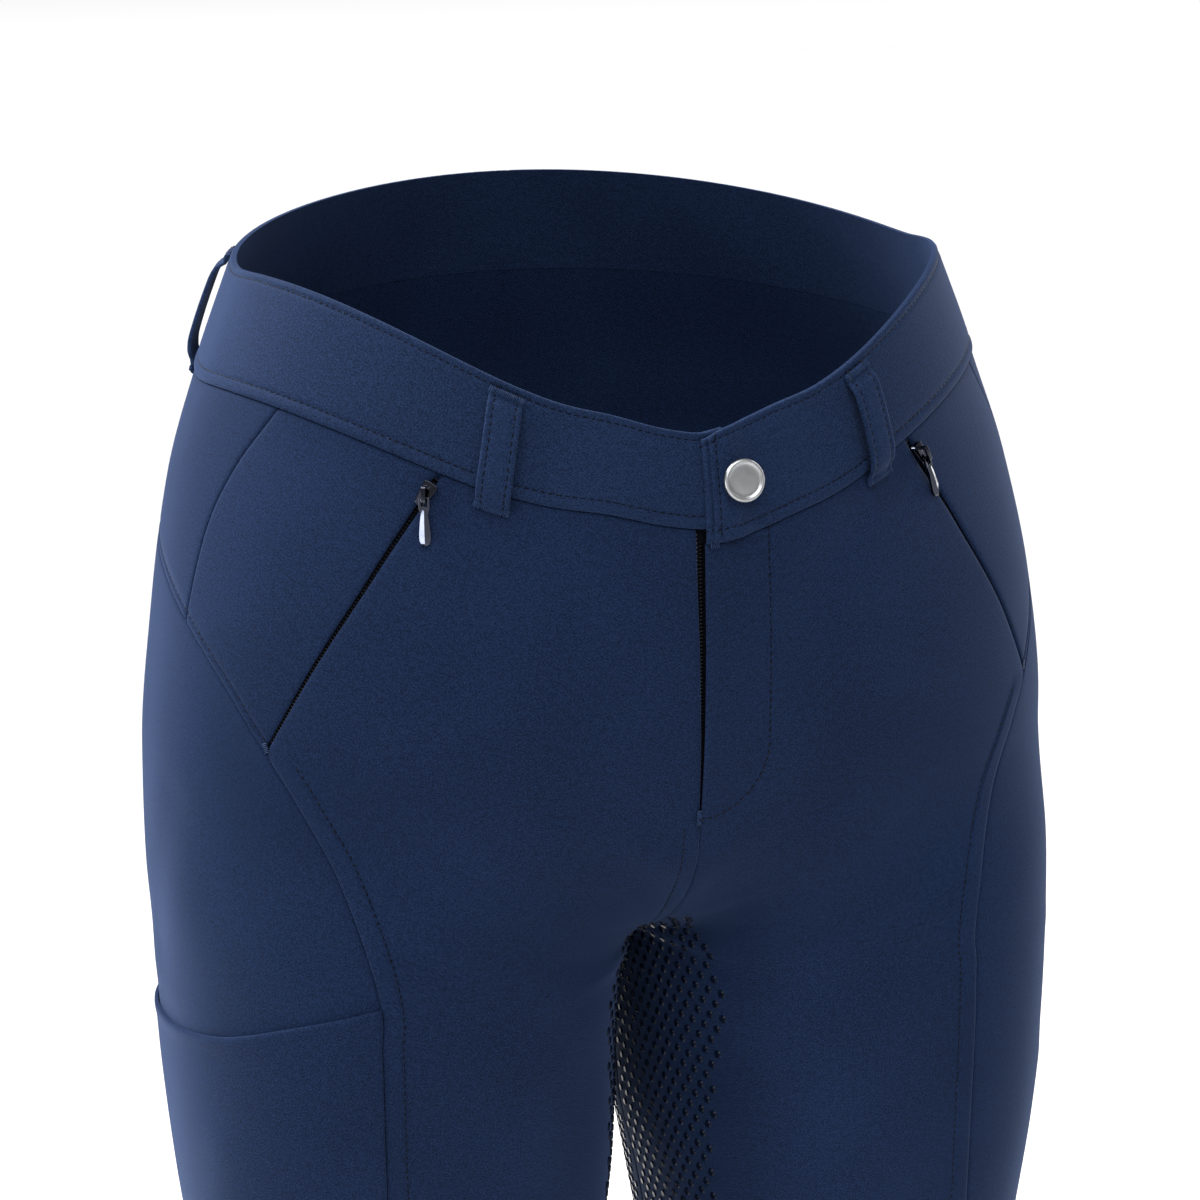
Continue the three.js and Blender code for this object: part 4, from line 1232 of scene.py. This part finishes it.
# One half of a loop's columns, as shares of its half width
LOOP_COLUMNS = np.array([-1, -0.95, -0.87, -0.76, -0.68, -0.64, -0.58, -0.4, -0.15])


def belt_loop(loop):
    """A folded strip sewn down above and below the band, standing off it between."""
    middle = np.arange(LOOP_TOP - LOOP_MIDDLE_IN, LOOP_FOOT + LOOP_MIDDLE_UP, -LOOP_SPACING)
    rows = np.concatenate([LOOP_TOP - LOOP_END_OFFSETS, middle, LOOP_FOOT + LOOP_END_OFFSETS[::-1]])
    columns = np.concatenate([LOOP_COLUMNS, -LOOP_COLUMNS[::-1]]) * LOOP_HALF_WIDTH
    places = strip_places(lambda level: np.full_like(level, loop.u), rows, columns)
    from_edge = np.minimum(places.start, places.end)
    from_end = np.minimum(places.top, places.foot)
    relief = rolled(from_edge, LOOP_EDGE_ROLL) + rolled(from_end, LOOP_END_ROLL)
    relief += groove(from_edge, LOOP_STITCH, LOOP_GROOVE)
    base = loop_stand(places.level) + LOOP_CLOTH
    sewn_panel(
        loop.name, loop.side, places, base, relief, wall=LOOP_CLOTH, material=BAND_CLOTH, held="folded"
    )


def patch_place(share, t):
    """Places of the thigh pocket: share runs from the thigh seam to the back seam, t down from its mouth."""
    front_top = patch_level(PATCH_EDGE[0][0])
    front_level = mix(front_top, PATCH_FOOT, t)
    start = shift_u(thigh_u(front_level), front_level, 2 * HALF_SEAM)
    end = shift_u(np.full_like(front_level, BACK_SEAM_U), front_level, -HALF_SEAM)
    u = mix(start, end, share)
    return u, front_level + (patch_level(u) - front_top) * (1 - t)


# Rows down from the thigh pocket's mouth
MOUTH_OFFSETS = np.array([0, 0.3, 0.7, 1.2, 2, 3, 4.2, 6, 9, 12])


def thigh_pocket():
    """Thigh pocket on the right side panel, open along its curved top edge."""
    rows = edge_shares(PATCH_EDGE[0][1] - PATCH_FOOT, MOUTH_OFFSETS, STITCHED_OFFSETS, PLAIN_SPACING)
    places = panel_places(patch_place, rows, EDGE_OFFSETS, EDGE_OFFSETS, PLAIN_SPACING)
    relief = rolled(places.start) + rolled(places.end) + rolled(places.top, PATCH_MOUTH_ROLL)
    relief += rolled(places.foot, PATCH_FOOT_ROLL) + groove(places.foot, EDGE_STITCH)
    relief += MOUTH_ROLL * (1 - ease((places.top - MOUTH_ROLL_IN) / MOUTH_ROLL_FADE))
    base = PATCH_GAP + PATCH_WALL
    sewn_panel("thigh_pocket", "right", places, base, relief, wall=PATCH_WALL, held="laid")


# Zips and button


def tape(node, side, u_at, half_width, top, foot):
    """A woven tape under a slit, along the line that u_at gives."""
    rows = np.linspace(top, foot, TAPE_ROWS)
    columns = np.linspace(-half_width, half_width, TAPE_COLUMNS)
    places = strip_places(u_at, rows, columns)
    base = -WALL - UNDERLAY_GAP
    sewn_panel(
        node, side, places, base, wall=TAPE_THICK, material=TAPE_CLOTH, held="laid",
    )


def axes_on_cloth(u, level, side, lift, direction):
    """Axes on the cloth at a place: across and along the given direction in the cloth, and out of it."""
    outward = form_normals(u, level, side)
    seat = form_points(u, level, side) + outward * lift
    along = direction - direction @ outward * outward
    along /= np.linalg.norm(along)
    return seat, np.cross(along, outward), along, outward


UPWARD = np.array([0, 0, 1.0])
# The cap's outline, as (radius, height), from its foot round the rim to its face
BUTTON_PROFILE = [
    (BUTTON_RADIUS - 1.4, 0), (BUTTON_RADIUS - 0.5, 0.35), (BUTTON_RADIUS - 0.1, 0.9), (BUTTON_RADIUS, 1.4),
    (BUTTON_RADIUS - 0.05, 1.9), (BUTTON_RADIUS - 0.25, 2.3), (BUTTON_RADIUS - 0.6, 2.53),
    (BUTTON_RADIUS - 0.95, 2.6), (BUTTON_RADIUS - 1.3, 2.5), (BUTTON_RADIUS - 1.55, 2.28),
    (BUTTON_RADIUS - 1.8, 2.06), (BUTTON_RADIUS - 2.2, 1.98), (BUTTON_RADIUS - 3.2, 2.05),
    (BUTTON_RADIUS - 4.8, 2.15), (BUTTON_RADIUS - 6.2, 2.2),
]
BUTTON_SIDES = 64


def snap_button():
    """Snap button on the tab: a pressed cap with a rolled rim round a faintly domed face."""
    stand = BAND_RAISE + TAB_RAISE + BUTTON_STAND
    seat, across, along, outward = axes_on_cloth(BUTTON_U, BUTTON_LEVEL, "left", stand, UPWARD)
    shape = bmesh.new()
    rings = []
    for radius, height in BUTTON_PROFILE:
        turns = np.linspace(0, 2 * math.pi, BUTTON_SIDES, endpoint=False)[:, None]
        ring = seat + radius * (np.cos(turns) * across + np.sin(turns) * along) + height * outward
        rings.append([shape.verts.new(Vector(point * MM)) for point in ring])
    for lower, upper in zip(rings[:-1], rings[1:]):
        for i in range(BUTTON_SIDES):
            j = (i + 1) % BUTTON_SIDES
            shape.faces.new((lower[i], lower[j], upper[j], upper[i]))
    shape.faces.new(rings[0][::-1])
    shape.faces.new(rings[-1])
    bmesh.ops.recalc_face_normals(shape, faces=shape.faces)
    mesh = bpy.data.meshes.new("snap_button")
    shape.to_mesh(mesh)
    add_piece("snap_button_cap", mesh, SATIN_METAL, replaces=["snap_button"])


# Small metal solids: the least bend that is eased, in degrees, how wide, and how points and flats join
EASED_BEND = 35
EASED_WIDTH = 0.16
EASED_MERGE = 0.01
EASED_FLAT = 2


def eased(shape, width):
    """Joins a small solid's loose triangles and eases its edges."""
    bmesh.ops.remove_doubles(shape, verts=shape.verts, dist=EASED_MERGE * MM)
    flat = math.radians(EASED_FLAT)
    bmesh.ops.dissolve_limit(shape, angle_limit=flat, verts=shape.verts, edges=shape.edges)
    bend = math.radians(EASED_BEND)
    sharp = [edge for edge in shape.edges if edge.is_manifold and edge.calc_face_angle() > bend]
    bmesh.ops.bevel(
        shape, geom=sharp, offset=width * MM, segments=2, profile=0.5, affect="EDGES", clamp_overlap=True,
    )
    bmesh.ops.recalc_face_normals(shape, faces=shape.faces)


def add_drop(shape, side, direction):
    """The pull's drop: long facets that meet in a ridge down its middle."""
    u = pocket_u(SLIDER_LEVEL)
    seat, across, along, outward = axes_on_cloth(u, SLIDER_LEVEL, side, PULL_STAND, direction)
    lean = math.radians(PULL_LEAN)
    down = -along * math.cos(lean) - outward * math.sin(lean)
    front = outward * math.cos(lean) - along * math.sin(lean)
    axle = seat - along * PULL_AXLE_IN
    rings = []
    for far, half_width in DROP_PROFILE:
        middle = axle + down * far
        ridge = DROP_WALL + DROP_RIDGE * min(1, half_width / DROP_SHOULDER)
        left, right = -half_width, half_width
        ring = [(left, -DROP_WALL), (left, DROP_WALL), (0, ridge), (right, DROP_WALL), (right, -DROP_WALL)]
        rings.append([shape.verts.new(Vector((middle + across * x + front * y) * MM)) for x, y in ring])
    for upper, lower in zip(rings[:-1], rings[1:]):
        for i in range(len(upper)):
            j = (i + 1) % len(upper)
            shape.faces.new((upper[i], upper[j], lower[j], lower[i]))
    shape.faces.new(rings[0])
    shape.faces.new(rings[-1][::-1])


def zip_slider(side):
    """Slider of a pocket zip, and its pull tab with a ridged drop."""
    for kind, body in (("slider", "garment"), ("pull", "pull_" + side)):
        node = f"zip_{kind}_{side}"
        shape = bmesh.new()
        shape.from_mesh(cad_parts[node].data)
        eased(shape, EASED_WIDTH)
        if kind == "pull":
            add_drop(shape, side, PULL_DIRECTIONS[side])
            bmesh.ops.recalc_face_normals(shape, faces=shape.faces)
        mesh = bpy.data.meshes.new(node)
        shape.to_mesh(mesh)
        add_piece(
            node + "_metal", mesh, DARK_CHROME,
            body=body, replaces=[node], sharp_bend=METAL_SHARP_BEND,
        )


# Stitching, zip coils and print


def edge_line(surface, edge, inset, top=BAND_TOP + 1, foot=HEM):
    """The line at one distance from a panel's edge, as points with the cloth's outward direction."""
    table = np.concatenate([surface.points, surface.normals, surface.level[..., None]], axis=-1)
    distance = getattr(surface, edge)
    if edge in ("top", "foot"):
        table = table.swapaxes(0, 1)
        distance = distance.T
    line = []
    for row, away in zip(table, distance):
        order = np.argsort(away)
        line.append([np.interp(inset, away[order], column[order]) for column in row.T])
    line = np.array(line)
    level = line[:, -1]
    return line[(level <= top) & (level >= foot), :-1]


def fly_stitch_line():
    """The fly's stitching on the left front."""
    path = np.array(fly_stitch_path())
    far = np.concatenate([[0], np.cumsum(np.hypot(*np.diff(path, axis=0).T))])
    spots = np.linspace(FLY_STITCH_START, far[-1], FLY_STITCH_SPOTS)
    across = np.interp(spots, far, path[:, 0])
    level = np.interp(spots, far, path[:, 1])
    u = shift_u(np.zeros_like(level), level, across + HALF_SEAM, strides=FLY_STITCH_STRIDES)
    lift = flap_lift(u, level) + fly_groove(across, level) + FLY_STITCH_RISE
    points = cloth_points(u, level, "left", lift)
    return np.concatenate([points, form_normals(u, level, "left")], axis=-1)


def bar_line(bar):
    """A short straight bar of close stitches on the cloth."""
    share = np.linspace(-0.5, 0.5, BAR_SPOTS)
    level = bar.level + share * bar.down
    u = shift_u(np.full_like(level, bar.u), level, share * bar.across)
    points = form_points(u, level, bar.side) + form_normals(u, level, bar.side) * bar.lift
    return np.concatenate([points, form_normals(u, level, bar.side)], axis=-1)


def sewn_lines():
    """Every row of stitching, bar and coil, by kind."""
    lines = {row.kind: [] for row in rows_of(ROW_NAMES, ROWS)}
    for seam in rows_of(SEAM_NAMES, SEAMS):
        for node in seam.nodes:
            lines[seam.kind].append(edge_line(SURFACES[node], seam.edge, seam.inset, seam.top, seam.foot))
    for bar in rows_of(BAR_NAMES, BARS):
        lines["bar_tack"].append(bar_line(bar))
    lines["topstitch"].append(fly_stitch_line())
    return lines


def print_dots(surface, is_printed):
    """Places of the print's dots: offset rows over a panel, wherever is_printed says so."""
    table = [surface.points, surface.normals, surface.u[..., None], surface.level[..., None]]
    table = np.concatenate(table, axis=-1)
    middle = surface.top[:, surface.top.shape[1] // 2]
    dots = []
    for count, down in enumerate(np.arange(DOT_PITCH, middle[-1], DOT_PITCH * math.sqrt(3) / 2)):
        below = np.searchsorted(middle, down)
        t = (down - middle[below - 1]) / (middle[below] - middle[below - 1])
        row = mix(table[below - 1], table[below], t)
        along = mix(surface.across[below - 1], surface.across[below], t)
        places = np.arange(-PRINT_HALF_WIDTH, PRINT_HALF_WIDTH, DOT_PITCH) + (count % 2) * DOT_PITCH / 2
        places = places[(places > along[0] + PRINT_MARGIN) & (places < along[-1] - PRINT_MARGIN)]
        dots.append(np.stack([np.interp(places, along, column) for column in row.T], axis=-1))
    dots = np.concatenate(dots)
    u, level = dots[:, -2], dots[:, -1]
    dots = dots[is_printed(u, level), :-2]
    return dots[well_apart(dots[:, :3])]


def well_apart(points):
    """Leaves out each point that lies too near an earlier one, where rows of the cloth draw together."""
    kept = []
    for i, point in enumerate(points):
        if not kept or np.linalg.norm(points[kept] - point, axis=1).min() > LEAST_PITCH:
            kept.append(i)
    return kept


def marked_mesh(name, lines):
    """Open lines, or loose points, each point with the cloth's outward direction."""
    points = np.concatenate(lines)
    edges = []
    first = 0
    for line in lines:
        edges += [(i, i + 1) for i in range(first, first + len(line) - 1)]
        first += len(line)
    mesh = bpy.data.meshes.new(name)
    mesh.from_pydata((points[:, :3] * MM).tolist(), edges, [])
    outward = mesh.attributes.new("outward", "FLOAT_VECTOR", "POINT")
    outward.data.foreach_set("vector", points[:, 3:].ravel())
    return mesh


def new_tree(name, sizes):
    """A Geometry Nodes tree with a named input for each size, and short ways to add and join nodes."""
    tree = bpy.data.node_groups.new(name, "GeometryNodeTree")
    tree.interface.new_socket("Geometry", in_out="INPUT", socket_type="NodeSocketGeometry")
    for size in sizes:
        tree.interface.new_socket(size, in_out="INPUT", socket_type="NodeSocketFloat")
    tree.interface.new_socket("Material", in_out="INPUT", socket_type="NodeSocketMaterial")
    tree.interface.new_socket("Geometry", in_out="OUTPUT", socket_type="NodeSocketGeometry")

    def add(kind, inputs=(), **settings):
        node = tree.nodes.new(kind)
        for key, value in settings.items():
            setattr(node, key, value)
        for socket, value in dict(inputs).items():
            if isinstance(value, bpy.types.NodeSocket):
                tree.links.new(value, node.inputs[socket])
            else:
                node.inputs[socket].default_value = value
        return node

    given = tree.nodes.new("NodeGroupInput").outputs
    outward = add("GeometryNodeInputNamedAttribute", {"Name": "outward"}, data_type="FLOAT_VECTOR")
    return SimpleNamespace(tree=tree, add=add, given=given, outward=outward.outputs["Attribute"])


def finish_tree(kit, instances):
    """Ends a tree: real geometry, smooth faces and the given material."""
    real = kit.add("GeometryNodeRealizeInstances", {"Geometry": instances}).outputs[0]
    smooth = kit.add("GeometryNodeSetShadeSmooth", {"Geometry": real}).outputs[0]
    dressed = kit.add("GeometryNodeSetMaterial", {"Geometry": smooth, "Material": kit.given["Material"]})
    end = kit.tree.nodes.new("NodeGroupOutput")
    kit.tree.links.new(dressed.outputs[0], end.inputs[0])
    return kit.tree


def row_tree():
    """Small rounded lengths set along every line, turned to the cloth."""
    kit = new_tree("sewn_row", ROW_SIZES)
    given = kit.given
    curve = kit.add("GeometryNodeMeshToCurve", {"Mesh": given["Geometry"]}).outputs[0]
    spots = kit.add("GeometryNodeCurveToPoints", {"Curve": curve, "Length": given["Pitch"]}, mode="LENGTH")
    along = kit.add("FunctionNodeAlignRotationToVector", {"Vector": spots.outputs["Tangent"]}, axis="Z")
    turned = kit.add(
        "FunctionNodeAlignRotationToVector",
        {"Rotation": along.outputs[0], "Vector": kit.outward},
        axis="Y",
        pivot_axis="Z",
    )
    bead = kit.add("GeometryNodeMeshUVSphere", {"Segments": 6, "Rings": 4, "Radius": 0.5}).outputs[0]
    sizes = {"X": given["Width"], "Y": given["Height"], "Z": given["Length"]}
    scale = kit.add("ShaderNodeCombineXYZ", sizes).outputs[0]
    lift = {0: kit.outward, "Scale": given["Rise"]}
    raised = kit.add("ShaderNodeVectorMath", lift, operation="SCALE").outputs[0]
    spot_inputs = {"Geometry": spots.outputs["Points"], "Offset": raised}
    placed = kit.add("GeometryNodeSetPosition", spot_inputs).outputs[0]
    beads = kit.add(
        "GeometryNodeInstanceOnPoints",
        {"Points": placed, "Instance": bead, "Rotation": turned.outputs[0], "Scale": scale},
    )
    return finish_tree(kit, beads.outputs[0])


def dot_tree():
    """Low six-sided studs on every point, standing square to the cloth."""
    kit = new_tree("silicone_dots", ("Radius", "Top Radius", "Height"))
    given = kit.given
    sizes = {"Radius Bottom": given["Radius"], "Radius Top": given["Top Radius"], "Depth": given["Height"]}
    stud = kit.add("GeometryNodeMeshCone", {"Vertices": 6, **sizes}).outputs[0]
    upright = kit.add("FunctionNodeAlignRotationToVector", {"Vector": kit.outward}, axis="Z").outputs[0]
    studs = kit.add(
        "GeometryNodeInstanceOnPoints", {"Points": given["Geometry"], "Instance": stud, "Rotation": upright}
    )
    return finish_tree(kit, studs.outputs[0])


def grown(name, mesh, tree, inputs):
    """Runs a tree on a mesh and keeps its result as a plain mesh."""
    holder = bpy.data.objects.new(name, mesh)
    bpy.context.collection.objects.link(holder)
    modifier = holder.modifiers.new("made", "NODES")
    modifier.node_group = tree
    for socket in tree.interface.items_tree:
        if socket.in_out == "INPUT" and socket.name in inputs:
            modifier[socket.identifier] = inputs[socket.name]
    depsgraph = bpy.context.evaluated_depsgraph_get()
    result = bpy.data.meshes.new_from_object(holder.evaluated_get(depsgraph), depsgraph=depsgraph)
    bpy.data.objects.remove(holder)
    return result


BOTH_FRONTS = ("front_right", "front_left")
BOTH_BANDS = ("waistband_right", "waistband_left")
BOTH_SEATS = ("seat_right", "seat_left")
BOTH_SIDES = ("side_right", "side_left")
ALL_LOOPS = tuple(row[0] for row in LOOPS)
ABOVE = BAND_TOP + 1

# Sewn rows along the panels' edges: how far in they lie, and the levels between which they run
SEAM_NAMES = ("kind", "nodes", "edge", "inset", "top", "foot")
SEAMS = [
    ("topstitch", BOTH_BANDS, "top", BAND_TOP_STITCH, ABOVE, BAND_BOTTOM),
    ("topstitch", BOTH_BANDS, "foot", BAND_FOOT_STITCH, ABOVE, BAND_BOTTOM),
    ("topstitch", ("waistband_left",), "start", TAB_STITCH, BAND_TOP - BAND_TOP_STITCH, BAND_BOTTOM),
    ("topstitch", BOTH_FRONTS, "end", STRIP_WIDTH, POCKET_FOOT - 3, HEM),
    ("topstitch", ("front_right",), "start", FORK_STRIP_WIDTH, FLY_STITCH_FOOT - 4, CROTCH),
    ("topstitch", ("hip_right", "hip_left"), "foot", EDGE_STITCH, ABOVE, POCKET_FOOT),
    ("topstitch", ("yoke_right", "yoke_left"), "foot", EDGE_STITCH, ABOVE, POCKET_FOOT),
    ("topstitch", BOTH_SEATS, "start", EDGE_STITCH, ABOVE, HEM),
    ("topstitch", BOTH_FRONTS + BOTH_SIDES + BOTH_SEATS, "foot", HEM_STITCH, ABOVE, HEM),
    ("topstitch", ("thigh_pocket",), "foot", EDGE_STITCH, ABOVE, HEM),
    ("topstitch", ALL_LOOPS, "start", LOOP_STITCH, ABOVE, LOOP_FOOT),
    ("topstitch", ALL_LOOPS, "end", LOOP_STITCH, ABOVE, LOOP_FOOT),
    ("bar_tack", ALL_LOOPS, "top", LOOP_BAR_IN, ABOVE, LOOP_FOOT),
    ("bar_tack", ALL_LOOPS, "foot", LOOP_BAR_IN, ABOVE, LOOP_FOOT),
    ("coil", ("pocket_zip_right", "pocket_zip_left"), "start", TAPE_HALF, ZIP_TOP, POCKET_FOOT + 2),
    ("coil", ("fly_zip",), "start", FLY_TAPE_HALF + FLY_COIL_IN, ZIP_TOP, FLY_STITCH_FOOT + 4),
    ("tape_edge", ("fly_zip",), "start", FLY_TAPE_HALF + TAPE_EDGE_IN, BAND_BOTTOM, FLY_STITCH_FOOT + 4),
]
# Short bars of close stitches at the ends of openings
BAR_NAMES = ("side", "u", "level", "across", "down", "lift")
BARS = [
    ("right", 0.003, FLY_STITCH_FOOT + 1, 0, 7, 0.75),
    ("left", 0.012, BAND_BOTTOM - 4.5, 2.6, 0, 2.2),
    ("right", pocket_u(POCKET_FOOT), POCKET_FOOT + 1.5, 1.5, 3, -0.3),
    ("left", pocket_u(POCKET_FOOT), POCKET_FOOT + 1.5, 1.5, 3, -0.3),
]


def seat_printed(u, level):
    """Where the seat carries the print: all round, between two levels."""
    return (level < PRINT_TOP) & (level > PRINT_FOOT)


def front_printed(u, level):
    """Where the inside of the front leg carries the print."""
    return (u < np.interp(-level, *PRINT_FRONT)) & (level < PRINT_FRONT_TOP) & (level > PRINT_FOOT)


# What each kind of row is made of
THREADS = {
    "topstitch": (THREAD, "breeches_cloth"),
    "bar_tack": (BAR_THREAD, "breeches_cloth"),
    "coil": (NYLON_TEETH, "zip_tape"),
    "tape_edge": (PALE_THREAD, "zip_tape"),
}


def sewing():
    """Lays every sewn row and coil on the garment."""
    lines = sewn_lines()
    tree = row_tree()
    for row in rows_of(ROW_NAMES, ROWS):
        thread, slot = THREADS[row.kind]
        inputs = {size: getattr(row, size.lower()) * MM for size in ROW_SIZES}
        inputs["Material"] = thread
        mesh = grown(row.kind, marked_mesh(row.kind, lines[row.kind]), tree, inputs)
        add_piece("sewn_" + row.kind, mesh, thread)


def silicone_grip(side, tree):
    """The printed grip of one leg: dots over the seat and along the inside of the leg."""
    on_seat = print_dots(SURFACES["seat_" + side], seat_printed)
    on_front = print_dots(SURFACES["front_" + side], front_printed)
    mesh = marked_mesh("grip", [dot[None, :] for dot in np.concatenate([on_seat, on_front])])
    inputs = {
        "Radius": DOT_RADIUS * MM,
        "Top Radius": DOT_TOP_RADIUS * MM,
        "Height": DOT_HEIGHT * MM,
        "Material": SILICONE,
    }
    add_piece("silicone_grip_" + side, grown("grip", mesh, tree, inputs), SILICONE)


for side in ("right", "left"):
    waistband(side)
    front_panel(side)
    hip_panel(side)
    back_yoke(side)
    side_panel(side)
    seat_panel(side)
    tape("pocket_zip_" + side, side, pocket_u, TAPE_HALF, ZIP_TOP, POCKET_FOOT + POCKET_TAPE_UP)
    zip_slider(side)
for loop in rows_of(LOOP_NAMES, LOOPS):
    belt_loop(loop)
tape("fly_zip", "right", np.zeros_like, FLY_TAPE_HALF, ZIP_TOP + FLY_TAPE_RISE, FLY_FOOT + FLY_TAPE_UP)
thigh_pocket()
snap_button()
sewing()
dots = dot_tree()
for side in ("right", "left"):
    silicone_grip(side, dots)
